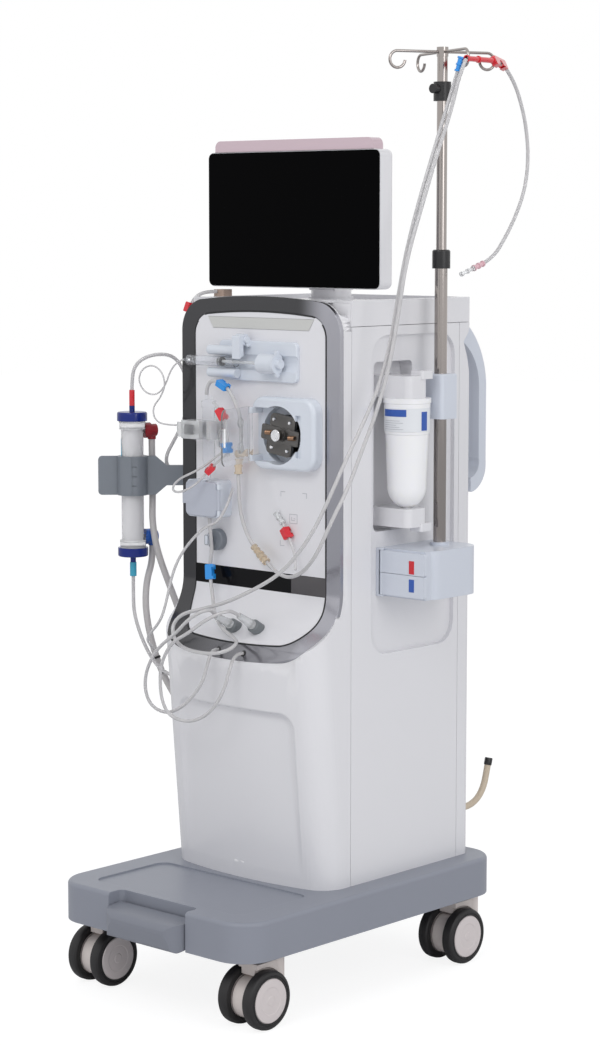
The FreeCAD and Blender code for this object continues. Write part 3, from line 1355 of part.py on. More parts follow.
def pole_upper():
    tube_part = rod((POLE_X, POLE_Y, UPPER_BOTTOM), (0, 0, 1), UPPER_R, UPPER_TOP - UPPER_BOTTOM)
    hub = rod((POLE_X, POLE_Y, UPPER_TOP - 14), (0, 0, 1), UPPER_R + 1, 16)
    upper = tube_part.fuse(hub)
    for quarter in range(4):
        upper = upper.fuse(hook(HOOK_TURN + 90 * quarter))
    knob = tube((POLE_X, POLE_Y, KNOB_Z[0]), (0, 0, 1), UPPER_R + 6, UPPER_R, KNOB_Z[1] - KNOB_Z[0])
    wing = rod((POLE_X, POLE_Y - UPPER_R - 5, (KNOB_Z[0] + KNOB_Z[1]) / 2 + 4), (0, -1, 0), 8, 12)
    wing = wing.cut(rod((POLE_X, POLE_Y, KNOB_Z[0] - 1), (0, 0, 1), UPPER_R + 2, 60))
    joint = off_pole(77.5, 40, 1590)
    red = sleeve(off_pole(89.5, -47.5, 1589), joint, 4.5)
    clamp = pinch_clamp(joint, off_pole(43, 114, 1586))
    blue = sleeve(off_pole(75, -52, 1568), off_pole(79, -48, 1592), 4.5)
    pink = around(sleeve(off_pole(34, 72, 1250), off_pole(32, 48, 1242), 4, 0), "access_line")
    nose = sleeve(off_pole(32, 48, 1242), off_pole(29, 18, 1232), 3, 0)
    fittings = [around(red, "arterial_line"), around(clamp, "access_line"), around(blue, "venous_line")]
    return [upper, knob.fuse(wing)] + fittings + [pink, nose]


def pole_mounts():
    return [pole_bracket(), rinse_box()]


def pole_bracket():
    wall = BODY_HALF - RECESS_DEPTH
    block = rounded((wall, POLE_X + 22), (POLE_Y - 22, POLE_Y + 22), BRACKET_Z, 7, Z_AXIS)
    block = soften(block, 3, lies_at(Z_AXIS, BRACKET_Z[1]))
    return block.cut(rod((POLE_X, POLE_Y, BRACKET_Z[0] - 1), (0, 0, 1), POLE_R + FIT, 100))


def rinse_box():
    body = rounded(BOX_X, BOX_Y, BOX_Z, BOX_CORNER, Z_AXIS)
    body = body.fuse(box((BOX_X[0], BOX_X[1] - 6), (BOX_Y[0], BOX_Y[0] + 60), BOX_Z))
    body = body.fuse(box((BOX_X[0], BOX_X[0] + 40), BOX_Y, BOX_Z)).removeSplitter()
    foot = tube((POLE_X, POLE_Y, BOX_Z[1]), (0, 0, 1), POLE_R + 6, POLE_R - 4, 5)
    plate = box((BOX_X[0], FLAP_HINGE_X), (FLAP_HINGE_Y - 4, BOX_Y[0]), BOX_Z)
    sweep_r = math.hypot(FLAP_KNUCKLE_R, FLAP_KNUCKLE_R) + GAP
    gap = rod((FLAP_HINGE_X, FLAP_HINGE_Y, BOX_Z[0] + 3), (0, 0, 1), sweep_r, BOX_Z[1] - BOX_Z[0] - 6)
    ears = []
    for z in (BOX_Z[0], BOX_Z[1] - 3):
        ears.append(rod((FLAP_HINGE_X, FLAP_HINGE_Y, z), (0, 0, 1), FLAP_KNUCKLE_R, 3))
    pin = rod((FLAP_HINGE_X, FLAP_HINGE_Y, BOX_Z[0]), (0, 0, 1), 1.5, BOX_Z[1] - BOX_Z[0])
    return body.fuse(foot).fuse(plate.cut(gap)).fuse(ears + [pin])


def flap(bottom, top):
    """One of the two swinging doors on the box's front face."""
    y = (BOX_Y[0] - GAP - FLAP_THICK, BOX_Y[0] - GAP)
    door = rounded((FLAP_HINGE_X, BOX_X[1] - 2), y, (bottom, top), 3.5, Y_AXIS)
    door = door.fuse(rod((FLAP_HINGE_X, FLAP_HINGE_Y, bottom), (0, 0, 1), FLAP_KNUCKLE_R, top - bottom))
    return door.cut(rod((FLAP_HINGE_X, FLAP_HINGE_Y, bottom - 1), (0, 0, 1), 1.5 + FIT, top - bottom + 2))


def grommet_ports():
    """Soft black bushes in the frame's lower edge."""
    bushes = []
    for x in PORT_X:
        bush = port_rod(x, PORT_R).common(front_slab(0, FRAME_THICK, TOP_Z))
        bushes.append(bush.cut(front_outline(FRAME_INSIDE, -270, 30)))
    return bushes


def bend(before, corner, after):
    """The arc that rounds a corner of a tube: its start, middle and end, and its radius."""
    back = before - corner
    on = after - corner
    cut = 0.45 * min(back.Length, on.Length)
    back.normalize()
    on.normalize()
    half_turn = (math.pi - back.getAngle(on)) / 2
    radius = cut / math.tan(half_turn)
    inward = back + on
    inward.normalize()
    middle = corner + inward * (radius / math.cos(half_turn) - radius)
    return corner + back * cut, middle, corner + on * cut, radius


def sweep(diameter, points):
    """A round tube along straight runs joined by tangent arcs: the solid, its length and least bend."""
    knots = [V(*point) for point in points]
    wired = [knots[0]]
    radii = []
    for before, corner, after in zip(knots, knots[1:], knots[2:]):
        start, middle, end, radius = bend(before, corner, after)
        wired.extend([start, (middle, end)])
        radii.append(radius)
    wired.append(knots[-1])
    spine = path(wired)
    ring = Part.Wire([Part.Circle(knots[0], knots[1] - knots[0], diameter / 2).toShape()])
    return spine.makePipeShell([ring], True, False), spine.Length, min(radii)


def around(fitting, name):
    """A fitting opened round the line that runs through it or ends on it."""
    diameter, points = CORDS[name]
    cleared = fitting.cut(sweep(diameter + 2 * GAP, points)[0])
    return max(cleared.Solids, key=lambda solid: solid.Volume)


def cord(name):
    diameter, points = CORDS[name]
    solid, length, least = sweep(diameter, points)
    share = solid.Volume / (math.pi * diameter**2 / 4 * length)
    print(name, "length", round(length), "least bend", round(least / diameter, 1), "share", round(share, 3))
    return solid


def along(shape, start, end):
    """Moves a piece drawn up the z axis from the origin so that it points from start to end."""
    direction = V(*end) - V(*start)
    turn = FreeCAD.Rotation(Z_AXIS, direction)
    shape.Placement = FreeCAD.Placement(V(*start), turn)
    return shape


def pinch_clamp(start, end, bore=LINE_BORE):
    """A folded plastic clamp round a tube, open between its two long sides."""
    length = (V(*end) - V(*start)).Length
    body = rounded((-5, 5), (-8, 8), (0, length), 2.4, X_AXIS)
    slot = rounded((-6, 6), (5, 7.2), (length * 0.2, length * 0.8), 1, X_AXIS)
    jaw = rod((-6, 9.5, length / 2), (1, 0, 0), length * 0.16, 12)
    hole = rod((0, 0, -1), (0, 0, 1), bore, length + 2)
    return along(body.cut(slot).cut(jaw).cut(hole), start, end)


def sleeve(start, end, radius, bore=LINE_BORE):
    """A moulded connector: a sleeve with a collar at each end."""
    length = (V(*end) - V(*start)).Length
    body = rod((0, 0, 0), (0, 0, 1), radius, length)
    for z in (0, length * 0.42, length - 3):
        body = body.fuse(rod((0, 0, z), (0, 0, 1), radius + 1.4, 3))
    if bore:
        body = body.cut(rod((0, 0, -1), (0, 0, 1), bore, length + 2))
    return along(body, start, end)


def hose_plug(base, tip, line):
    """A rinse plug on the panel's slope: a grey cap and its ribbed nose."""
    length = (V(*tip) - V(*base)).Length
    cap = rod((0, 0, 0), (0, 0, 1), 12, 17)
    cap = soften(cap, 3, lies_at(Z_AXIS, 17))
    cap = cap.fuse(rod((0, 0, -12), (0, 0, 1), 12, 13))
    nose = Part.makeCone(8, 5.5, length - 17, V(0, 0, 17), Z_AXIS)
    for step in range(3):
        nose = nose.fuse(rod((0, 0, 20 + 7 * step), (0, 0, 1), 8.5 - step, 3))
    cap = along(cap, base, tip).cut(front_side(-GAP, BASE_TOP, TOP_Z))
    return [cap, around(along(nose, base, tip), line)]


def line_fittings():
    """The clamps, connectors and short branches of the blood lines at the front."""
    solids = hose_plug((-20, -87, 624), (-22.7, -134.9, 650.4), "rinse_line_left")
    solids += hose_plug((32, -87, 627), (30, -133, 656), "rinse_line_right")
    solids.append(around(pinch_clamp((-102, -68, 726), (-98, -71, 700)), "venous_line"))
    solids.append(around(pinch_clamp((-66, -82, 1047), (-44, -83, 1037)), "chamber_arch_line"))
    branch = [(-81.1, -79.6, 1011.3), (-66, -86, 1006), (-48, -85, 980), (-42, -86, 950), (-41, -86, 918)]
    solids.append(around(sweep(5, branch)[0], "sample_line"))
    solids.append(pinch_clamp((-62, -86, 1001), (-50, -85, 983), 3.2))
    solids.append(around(pinch_clamp((-44, -86, 944), (-42, -86, 926), 3.2), "sample_line"))
    solids.append(around(pinch_clamp((-70, -91, 902), (-82, -96, 890), 3), "sample_line"))
    branch = [(60, -56, 810), (78, -59, 786), (98, -66, 760), (112, -80, 737)]
    solids.append(sweep(5, branch)[0])
    solids.append(pinch_clamp((66, -58.5, 802), (78, -59.5, 786), 3.2))
    solids.append(sleeve((44, -55.6, 826), (60, -55.6, 810), 4, 0))
    solids.append(sleeve((2, -66.5, 766), (18, -68, 754), 5))
    solids.append(sleeve((18, -68, 754), (35, -69.3, 742), 6))
    solids.append(around(sleeve((-27, -74, 916.8), (-27, -74, 890.3), 6, 0), "arterial_line"))
    solids.append(sleeve((-32, -74, 924), (-6, -73, 928), 5.5, 0))
    solids.append(rounded((-190, -166), (32, 58), (1190, 1202), 4, Z_AXIS))
    solids.append(around(pinch_clamp((-202, -20, 1162), (-198, -16, 1179)), "dialyser_top_line"))
    return solids


CORDS = {
    "venous_line": (
        6.5,
        [
            (-95, -77, 874),
            (-95, -77, 818),
            (-95, -74, 784),
            (-96, -69, 752),
            (-103, -67, 728),
            (-98, -71, 696),
            (-82, -82, 672),
            (-55, -106, 645),
            (-11, -129, 626),
            (22, -136, 617),
            (42, -149, 612),
            (42, -171, 602),
            (20, -186, 595),
            (-24, -187, 594),
            (-60, -182, 598),
            (-86, -176, 611),
            (-95, -168, 633),
            (-79, -158, 652),
            (-39, -151, 662),
            (21, -147, 681),
            (87, -142, 712),
            (131, -136, 739),
            (167, -130, 776),
            (196, -122, 820),
            (214, -106, 872),
            (222, -78, 928),
            (232, -48, 985),
            (243, -22, 1042),
            (252, -3, 1109),
            (260, 8, 1190),
            (265, 22, 1266),
            (271, 46, 1348),
            (280, 76, 1437),
            (292, 96, 1512),
            (304, 108, 1568),
        ],
    ),
    "arterial_line": (
        6.5,
        [
            (-27, -74, 889.4),
            (-32, -68, 845),
            (-26, -66, 808),
            (-8, -66, 774),
            (45, -70, 734),
            (76, -79, 724),
            (113, -91, 724),
            (155, -104, 741),
            (194, -114, 777),
            (220, -112, 828),
            (229, -80, 882),
            (237, -54, 944),
            (247, -26, 1012),
            (260, -10, 1086),
            (269, 1, 1172),
            (275, 12, 1255),
            (282, 42, 1343),
            (288, 74, 1430),
            (302, 96, 1508),
            (314, 101, 1564),
            (318.5, 112, 1588),
        ],
    ),
    "access_line": (
        6.5,
        [
            (272, 274, 1586),
            (272, 297, 1566),
            (272, 318, 1534),
            (272, 337, 1487),
            (272, 345, 1432),
            (272, 336, 1377),
            (270, 311, 1328),
            (268, 283, 1290),
            (266, 258, 1262),
            (263, 232, 1250),
        ],
    ),
    "dialyser_top_line": (
        6.5,
        [
            (-292, -72, 1023),
            (-292, -71.5, 1043),
            (-287, -70, 1066),
            (-272, -59, 1082),
            (-255, -34, 1088),
            (-243, -10, 1081),
            (-234, 5, 1052),
            (-229, 7, 1012),
            (-230, -2, 968),
            (-247, -12, 930),
            (-256, -21, 908),
            (-257, -22, 889),
            (-248.5, -13.6, 876),
            (-235.7, -0.9, 876),
            (-227.2, 7.5, 889),
            (-221, 2, 912),
            (-211, -7, 950),
            (-206, -12, 992),
            (-204, -14, 1036),
            (-202, -15, 1080),
            (-202, -20, 1122),
            (-201, -22, 1156),
            (-196, -14, 1184),
            (-187, 5, 1199),
            (-180.3, 30.8, 1198),
        ],
    ),
    "heparin_line": (
        3,
        [
            (-162.2, -70, 1082),
            (-176, -73, 1078),
            (-190, -77, 1060),
            (-197, -81, 1036),
            (-213, -86, 1018),
            (-238, -90, 1020),
            (-255, -92, 1040),
            (-247, -92, 1062),
            (-223, -90, 1072),
            (-200, -88, 1062),
            (-192, -86, 1038),
            (-206, -84, 1015),
            (-226, -84, 997),
            (-224, -84, 976),
            (-200, -86, 966),
            (-161.4, -87, 968),
        ],
    ),
    "dialysate_hose_supply": (
        12,
        [
            (-278.7, -36.3, 933.7),
            (-279, -36, 905),
            (-277, -36, 868),
            (-277, -37, 826),
            (-269, -46, 786),
            (-254, -50, 738),
            (-249, -30, 684),
            (-240, -11, 630),
            (-226, -7, 590),
            (-208, -8, 564),
            (-188, -8, 558),
        ],
    ),
    "dialysate_hose_return": (
        12,
        [
            (-278.7, -36.3, 741.7),
            (-278, -37, 714),
            (-280, -50, 680),
            (-277, -57, 640),
            (-271, -57, 600),
            (-262, -53, 560),
            (-248, -47, 518),
            (-228, -40, 482),
            (-209, -38, 461),
            (-187.7, -38, 456),
        ],
    ),
    "dialyser_bottom_line": (
        6.5,
        [
            (-292, -72, 687.7),
            (-292, -72.5, 656),
            (-290, -73, 621),
            (-277, -71, 584),
            (-259, -67, 550),
            (-238, -63, 526),
            (-212, -60, 515),
            (-187, -60, 512),
        ],
    ),
    "rinse_line_left": (
        6,
        [
            (-29, -124.2, 590),
            (-28, -135, 592),
            (-24, -149, 583),
            (-21, -159, 566),
            (-26, -166, 536),
            (-58, -172, 497),
            (-99, -176, 475),
            (-137, -179, 483),
            (-152, -181, 511),
            (-145, -184, 548),
            (-114, -188, 590),
            (-64, -191, 622),
            (-38, -188, 648),
            (-19, -178, 662),
            (-11, -164, 665),
            (-19, -148, 660),
            (-22.8, -135.5, 650.8),
        ],
    ),
    "rinse_line_right": (
        6,
        [
            (31, -124.8, 590.3),
            (30, -136, 590.5),
            (31, -150, 582),
            (34, -161, 565),
            (26, -169, 525),
            (-1, -175, 487),
            (-43, -181, 468),
            (-86, -186, 474),
            (-104, -187, 500),
            (-109, -186, 535),
            (-101, -189, 570),
            (-72, -193, 606),
            (-32, -194, 626),
            (0, -189, 649),
            (21, -179, 662),
            (31, -165, 667),
            (31, -149, 665),
            (30, -133.5, 656.4),
        ],
    ),
    "chamber_arch_line": (
        6.5,
        [
            (-100, -77, 1023.9),
            (-98, -78, 1038),
            (-83, -80, 1051),
            (-55, -82, 1045),
            (-34, -83, 1028),
            (-20, -82, 1002),
            (-15, -80, 966),
            (-21, -77, 934.5),
        ],
    ),
    "detector_line": (
        5,
        [
            (-52, -62, 862),
            (-50, -76, 836),
            (-61, -91, 804),
            (-84, -98, 796),
            (-108, -106, 773),
            (-129, -116, 743),
            (-139, -126, 708),
            (-141, -136, 668),
            (-146, -146, 630),
            (-176, -150, 600),
            (-214, -112, 580),
            (-244, -70, 560),
        ],
    ),
    "sample_line": (
        4,
        [
            (-44, -84, 934),
            (-66, -88, 918),
            (-92, -93, 900),
            (-118, -100, 886),
            (-136, -105, 878),
            (-145, -114, 867),
            (-138, -124, 856),
            (-118, -123, 855),
            (-99, -107, 868),
            (-83, -97, 888),
            (-66, -90, 906),
            (-44, -84, 926),
        ],
    ),
    "drain_hose": (
        12,
        [
            (150, 309.2, 262),
            (150, 329, 262.5),
            (150, 352, 264),
            (150, 374, 274),
            (150, 389, 292),
            (150, 396, 313),
            (150, 402, 336),
        ],
    ),
}


def write(name, shape, bounds=None):
    solids = shape if isinstance(shape, list) else [shape]
    parts = []
    for solid in solids:
        parts.extend(solid.Solids)
    group = Part.makeCompound(parts) if len(parts) > 1 else parts[0]
    group = group.copy()
    if bounds:
        bounds.add(group.optimalBoundingBox(False, False))
    group.translate(MIDDLE)
    group.exportStep("parts/" + name + ".step")
    print(name, len(parts), group.isValid(), round(group.Volume / 1000, 1))


def main():
    os.makedirs("parts", exist_ok=True)
    extent = FreeCAD.BoundBox()
    shell = casing()
    right, left = side_panels(shell)
    write("trolley_base", trolley_base(), extent)
    write("lock_pedal", lock_pedal(), extent)
    names = ("front_left", "front_right", "rear_left", "rear_right")
    for name, place in zip(names, caster_places()):
        write("caster_fork_" + name, caster_fork(*place), extent)
        write("caster_wheels_" + name, caster_wheels(*place), extent)
    write("front_shell", front_shell(), extent)
    write("front_frame", [front_frame()] + grommet_ports(), extent)
    write("front_panel", front_panel(), extent)
    write("front_inlays", front_inlays(), extent)
    write("side_panel_right", [right, cartridge_arm(CARTRIDGE_Z[0] - 32, CARTRIDGE_Z[0], -1)], extent)
    write("side_panel_left", left.fuse(arm_bracket()), extent)
    write("rear_cover", rear_cover(shell), extent)
    write("top_cover", top_cover(shell), extent)
    write("rear_handles", rear_handles(), extent)
    write("chassis", chassis(), extent)
    write("inner_modules", inner_modules(), extent)
    write("monitor_neck", monitor_neck(), extent)
    write("monitor_housing", monitor_housing(), extent)
    write("monitor_glass", monitor_glass(), extent)
    write("syringe_dock", syringe_dock(), extent)
    write("syringe_lever", syringe_lever(), extent)
    write("syringe_carriage", syringe_carriage(), extent)
    write("syringe_barrel", syringe_barrel(), extent)
    write("blood_pump_housing", blood_pump_housing(), extent)
    write("pump_rotor", pump_rotor(), extent)
    write("pump_door", pump_door(), extent)
    write("line_clip", line_clip(), extent)
    write("venous_chamber", venous_chamber(), extent)
    write("detector_box", detector_box(), extent)
    write("detector_lid", detector_lid(), extent)
    write("holder_arm", holder_arm(), extent)
    write("holder_jaw", holder_jaw(), extent)
    write("dialyser", dialyser(), extent)
    write("cartridge", cartridge(), extent)
    write("cartridge_arm_upper", cartridge_arm(CARTRIDGE_Z[1], CARTRIDGE_Z[1] + 38, 1), extent)
    write("pole_lower", pole_lower(), extent)
    write("pole_upper", pole_upper(), extent)
    write("pole_mounts", pole_mounts(), extent)
    middle = (BOX_Z[0] + BOX_Z[1]) / 2
    write("flap_upper", flap(middle + GAP, BOX_Z[1] - 3 - GAP), extent)
    write("flap_lower", flap(BOX_Z[0] + 3 + GAP, middle - GAP), extent)
    write("line_fittings", line_fittings(), extent)
    for name in CORDS:
        write(name, cord(name))
    middle_x = (extent.XMin + extent.XMax) / 2
    middle_y = (extent.YMin + extent.YMax) / 2
    print(
        "middle of the rigid parts before moving",
        round(middle_x, 3),
        round(middle_y, 3),
        round(extent.ZMin, 3),
    )


main()
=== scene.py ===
"""A dialysis machine on its trolley: finishes, lines and fine pieces round the fixed model."""

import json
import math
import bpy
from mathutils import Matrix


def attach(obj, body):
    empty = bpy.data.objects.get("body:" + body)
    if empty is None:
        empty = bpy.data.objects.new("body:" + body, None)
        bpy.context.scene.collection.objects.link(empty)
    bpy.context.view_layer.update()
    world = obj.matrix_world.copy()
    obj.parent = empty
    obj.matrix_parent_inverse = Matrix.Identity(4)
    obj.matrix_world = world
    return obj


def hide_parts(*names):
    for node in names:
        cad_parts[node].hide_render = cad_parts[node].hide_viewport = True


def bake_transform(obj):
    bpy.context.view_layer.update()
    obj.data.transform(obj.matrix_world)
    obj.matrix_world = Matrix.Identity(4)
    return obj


bl_info = {
    "name": "Dialysis machine",
    "version": (1, 0, 0),
    "blender": (4, 5, 0),
    "location": "View3D > Sidebar > Dialysis",
    "description": "Dresses the dialysis machine: mouldings, pumps, dialyser, lines, pole and stage",
    "category": "Object",
}

import bmesh
import bpy
from mathutils import Matrix, Vector

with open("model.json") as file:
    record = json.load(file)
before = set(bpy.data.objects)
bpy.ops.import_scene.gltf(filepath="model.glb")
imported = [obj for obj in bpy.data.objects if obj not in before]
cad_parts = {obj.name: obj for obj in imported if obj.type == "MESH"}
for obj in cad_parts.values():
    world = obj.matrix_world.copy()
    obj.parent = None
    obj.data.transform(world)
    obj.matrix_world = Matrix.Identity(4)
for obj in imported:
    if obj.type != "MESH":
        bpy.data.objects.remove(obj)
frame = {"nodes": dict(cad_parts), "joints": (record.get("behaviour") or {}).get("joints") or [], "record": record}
NODES = frame["nodes"]
JOINTS = {joint["name"]: joint for joint in frame["joints"]}
BODY_OF = {n: body for body, ns in frame["record"]["behaviour"]["bodies"].items() for n in ns}
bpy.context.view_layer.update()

# The middle of the casing on the floor, found from the neck's pivot, which stands 135 mm behind it
NECK_BEHIND_MIDDLE = 0.135
SWIVEL = Vector(JOINTS["monitor_swivel"]["pos_m"])
MIDDLE = Vector((SWIVEL.x, SWIVEL.y - NECK_BEHIND_MIDDLE, 0))

# Outer diameters of the tubes in metres
BLOOD_LINE = 0.0065
RINSE_LINE = 0.006
DETECTOR_LINE = 0.005
SAMPLE_LINE = 0.004
HEPARIN_LINE = 0.003
HOSE = 0.012

# Places in metres from the casing's middle: upright axes as (x, y), the rotor's centre as (x, z) and its lean
DIALYSER_AXIS = (-0.292, -0.072)
CARTRIDGE_AXIS = (0.212, 0.092)
ROTOR_X, ROTOR_Z, ROTOR_LEAN = 0.061, 0.961, 0.139

# Routes of the tubes in metres from the casing's middle
ROUTES = {
    "venous_line": [
        (-0.095, -0.077, 0.874), (-0.095, -0.077, 0.818), (-0.095, -0.074, 0.784),
        (-0.096, -0.069, 0.752), (-0.103, -0.067, 0.728), (-0.098, -0.071, 0.696),
        (-0.082, -0.082, 0.672), (-0.055, -0.106, 0.645), (-0.011, -0.129, 0.626),
        (0.022, -0.136, 0.617), (0.042, -0.149, 0.612), (0.042, -0.171, 0.602), (0.02, -0.186, 0.595),
        (-0.024, -0.187, 0.594), (-0.06, -0.182, 0.598), (-0.086, -0.176, 0.611),
        (-0.095, -0.168, 0.633), (-0.079, -0.158, 0.652), (-0.039, -0.151, 0.662),
        (0.021, -0.147, 0.681), (0.087, -0.142, 0.712), (0.131, -0.136, 0.739), (0.167, -0.13, 0.776),
        (0.196, -0.122, 0.82), (0.214, -0.106, 0.872), (0.222, -0.078, 0.928), (0.232, -0.048, 0.985),
        (0.243, -0.022, 1.042), (0.252, -0.003, 1.109), (0.26, 0.008, 1.19), (0.265, 0.022, 1.266),
        (0.271, 0.046, 1.348), (0.28, 0.076, 1.437), (0.292, 0.096, 1.512), (0.304, 0.108, 1.568),
    ],
    "arterial_line": [
        (-0.027, -0.074, 0.8894), (-0.032, -0.068, 0.845), (-0.026, -0.066, 0.808),
        (-0.008, -0.066, 0.774), (0.045, -0.07, 0.734), (0.076, -0.079, 0.724), (0.113, -0.091, 0.724),
        (0.155, -0.104, 0.741), (0.194, -0.114, 0.777), (0.22, -0.112, 0.828), (0.229, -0.08, 0.882),
        (0.237, -0.054, 0.944), (0.247, -0.026, 1.012), (0.26, -0.01, 1.086), (0.269, 0.001, 1.172),
        (0.275, 0.012, 1.255), (0.282, 0.042, 1.343), (0.288, 0.074, 1.43), (0.302, 0.096, 1.508),
        (0.314, 0.101, 1.564), (0.3185, 0.112, 1.588),
    ],
    "access_line": [
        (0.272, 0.274, 1.586), (0.272, 0.297, 1.566), (0.272, 0.318, 1.534), (0.272, 0.337, 1.487),
        (0.272, 0.345, 1.432), (0.272, 0.336, 1.377), (0.27, 0.311, 1.328), (0.268, 0.283, 1.29),
        (0.266, 0.258, 1.262), (0.263, 0.232, 1.25),
    ],
    "dialyser_top_line": [
        (-0.292, -0.072, 1.023), (-0.292, -0.0715, 1.043), (-0.287, -0.07, 1.066),
        (-0.272, -0.059, 1.082), (-0.255, -0.034, 1.088), (-0.243, -0.01, 1.081), (-0.234, 0.005, 1.052),
        (-0.229, 0.007, 1.012), (-0.23, -0.002, 0.968), (-0.247, -0.012, 0.93), (-0.256, -0.021, 0.908),
        (-0.257, -0.022, 0.889), (-0.2485, -0.0136, 0.876), (-0.2357, -0.0009, 0.876),
        (-0.2272, 0.0075, 0.889), (-0.221, 0.002, 0.912), (-0.211, -0.007, 0.95),
        (-0.206, -0.012, 0.992), (-0.204, -0.014, 1.036), (-0.202, -0.015, 1.08), (-0.202, -0.02, 1.122),
        (-0.201, -0.022, 1.156), (-0.196, -0.014, 1.184), (-0.187, 0.005, 1.199),
        (-0.1803, 0.0308, 1.198),
    ],
    "heparin_line": [
        (-0.1622, -0.07, 1.082), (-0.176, -0.073, 1.078), (-0.19, -0.077, 1.06), (-0.197, -0.081, 1.036),
        (-0.213, -0.086, 1.018), (-0.238, -0.09, 1.02), (-0.255, -0.092, 1.04), (-0.247, -0.092, 1.062),
        (-0.223, -0.09, 1.072), (-0.2, -0.088, 1.062), (-0.192, -0.086, 1.038), (-0.206, -0.084, 1.015),
        (-0.226, -0.084, 0.997), (-0.224, -0.084, 0.976), (-0.2, -0.086, 0.966),
        (-0.1614, -0.087, 0.968),
    ],
    "dialysate_hose_supply": [
        (-0.2787, -0.0363, 0.9337), (-0.279, -0.036, 0.905), (-0.277, -0.036, 0.868),
        (-0.277, -0.037, 0.826), (-0.269, -0.046, 0.786), (-0.254, -0.05, 0.738), (-0.249, -0.03, 0.684),
        (-0.24, -0.011, 0.63), (-0.226, -0.007, 0.59), (-0.208, -0.008, 0.564), (-0.188, -0.008, 0.558),
    ],
    "dialysate_hose_return": [
        (-0.2787, -0.0363, 0.7417), (-0.278, -0.037, 0.714), (-0.28, -0.05, 0.68),
        (-0.277, -0.057, 0.64), (-0.271, -0.057, 0.6), (-0.262, -0.053, 0.56), (-0.248, -0.047, 0.518),
        (-0.228, -0.04, 0.482), (-0.209, -0.038, 0.461), (-0.1877, -0.038, 0.456),
    ],
    "dialyser_bottom_line": [
        (-0.292, -0.072, 0.6877), (-0.292, -0.0725, 0.656), (-0.29, -0.073, 0.621),
        (-0.277, -0.071, 0.584), (-0.259, -0.067, 0.55), (-0.238, -0.063, 0.526), (-0.212, -0.06, 0.515),
        (-0.187, -0.06, 0.512),
    ],
    "rinse_line_left": [
        (-0.029, -0.1242, 0.59), (-0.028, -0.135, 0.592), (-0.024, -0.149, 0.583),
        (-0.021, -0.159, 0.566), (-0.026, -0.166, 0.536), (-0.058, -0.172, 0.497),
        (-0.099, -0.176, 0.475), (-0.137, -0.179, 0.483), (-0.152, -0.181, 0.511),
        (-0.145, -0.184, 0.548), (-0.114, -0.188, 0.59), (-0.064, -0.191, 0.622),
        (-0.038, -0.188, 0.648), (-0.019, -0.178, 0.662), (-0.011, -0.164, 0.665),
        (-0.019, -0.148, 0.66), (-0.0228, -0.1355, 0.6508),
    ],
    "rinse_line_right": [
        (0.031, -0.1248, 0.5903), (0.03, -0.136, 0.5905), (0.031, -0.15, 0.582), (0.034, -0.161, 0.565),
        (0.026, -0.169, 0.525), (-0.001, -0.175, 0.487), (-0.043, -0.181, 0.468),
        (-0.086, -0.186, 0.474), (-0.104, -0.187, 0.5), (-0.109, -0.186, 0.535), (-0.101, -0.189, 0.57),
        (-0.072, -0.193, 0.606), (-0.032, -0.194, 0.626), (0, -0.189, 0.649), (0.021, -0.179, 0.662),
        (0.031, -0.165, 0.667), (0.031, -0.149, 0.665), (0.03, -0.1335, 0.6564),
    ],
    "chamber_arch_line": [
        (-0.1, -0.077, 1.0239), (-0.098, -0.078, 1.038), (-0.083, -0.08, 1.051), (-0.055, -0.082, 1.045),
        (-0.034, -0.083, 1.028), (-0.02, -0.082, 1.002), (-0.015, -0.08, 0.966),
        (-0.021, -0.077, 0.9345),
    ],
    "detector_line": [
        (-0.052, -0.062, 0.862), (-0.05, -0.076, 0.836), (-0.061, -0.091, 0.804),
        (-0.084, -0.098, 0.796), (-0.108, -0.106, 0.773), (-0.129, -0.116, 0.743),
        (-0.139, -0.126, 0.708), (-0.141, -0.136, 0.668), (-0.146, -0.146, 0.63), (-0.176, -0.15, 0.6),
        (-0.214, -0.112, 0.58), (-0.244, -0.07, 0.56),
    ],
    "sample_line": [
        (-0.044, -0.084, 0.934), (-0.066, -0.088, 0.918), (-0.092, -0.093, 0.9), (-0.118, -0.1, 0.886),
        (-0.136, -0.105, 0.878), (-0.145, -0.114, 0.867), (-0.138, -0.124, 0.856),
        (-0.118, -0.123, 0.855), (-0.099, -0.107, 0.868), (-0.083, -0.097, 0.888),
        (-0.066, -0.09, 0.906), (-0.044, -0.084, 0.926),
    ],
    "drain_hose": [
        (0.15, 0.3092, 0.262), (0.15, 0.329, 0.2625), (0.15, 0.352, 0.264), (0.15, 0.374, 0.274),
        (0.15, 0.389, 0.292), (0.15, 0.396, 0.313), (0.15, 0.402, 0.336),
    ],
}


def at(x, y, z):
    """A point given from the casing's middle, in the row frame."""
    return Vector((x, y, z)) + MIDDLE


# Shader node groups


def new_group(name, inputs, outputs, kind="ShaderNodeTree"):
    """An empty node group with named sockets, each with its kind and the inputs with a value."""
    tree = bpy.data.node_groups.new(name, kind)
    for label, sort, value in inputs:
        socket = tree.interface.new_socket(label, in_out="INPUT", socket_type="NodeSocket" + sort)
        if value is not None:
            socket.default_value = value
    for label, sort in outputs:
        tree.interface.new_socket(label, in_out="OUTPUT", socket_type="NodeSocket" + sort)
    return tree, tree.nodes.new("NodeGroupInput"), tree.nodes.new("NodeGroupOutput")


def new_geometry(name, *inputs):
    """An empty Geometry Nodes tree that takes a geometry and the given inputs."""
    return new_group(name, [("Geometry", "Geometry", None), *inputs], [("Geometry", "Geometry")],
                     "GeometryNodeTree")


def feed(tree, value, socket):
    """Gives an input the output that drives it, or a plain value."""
    if isinstance(value, bpy.types.NodeSocket):
        tree.links.new(value, socket)
    else:
        socket.default_value = value


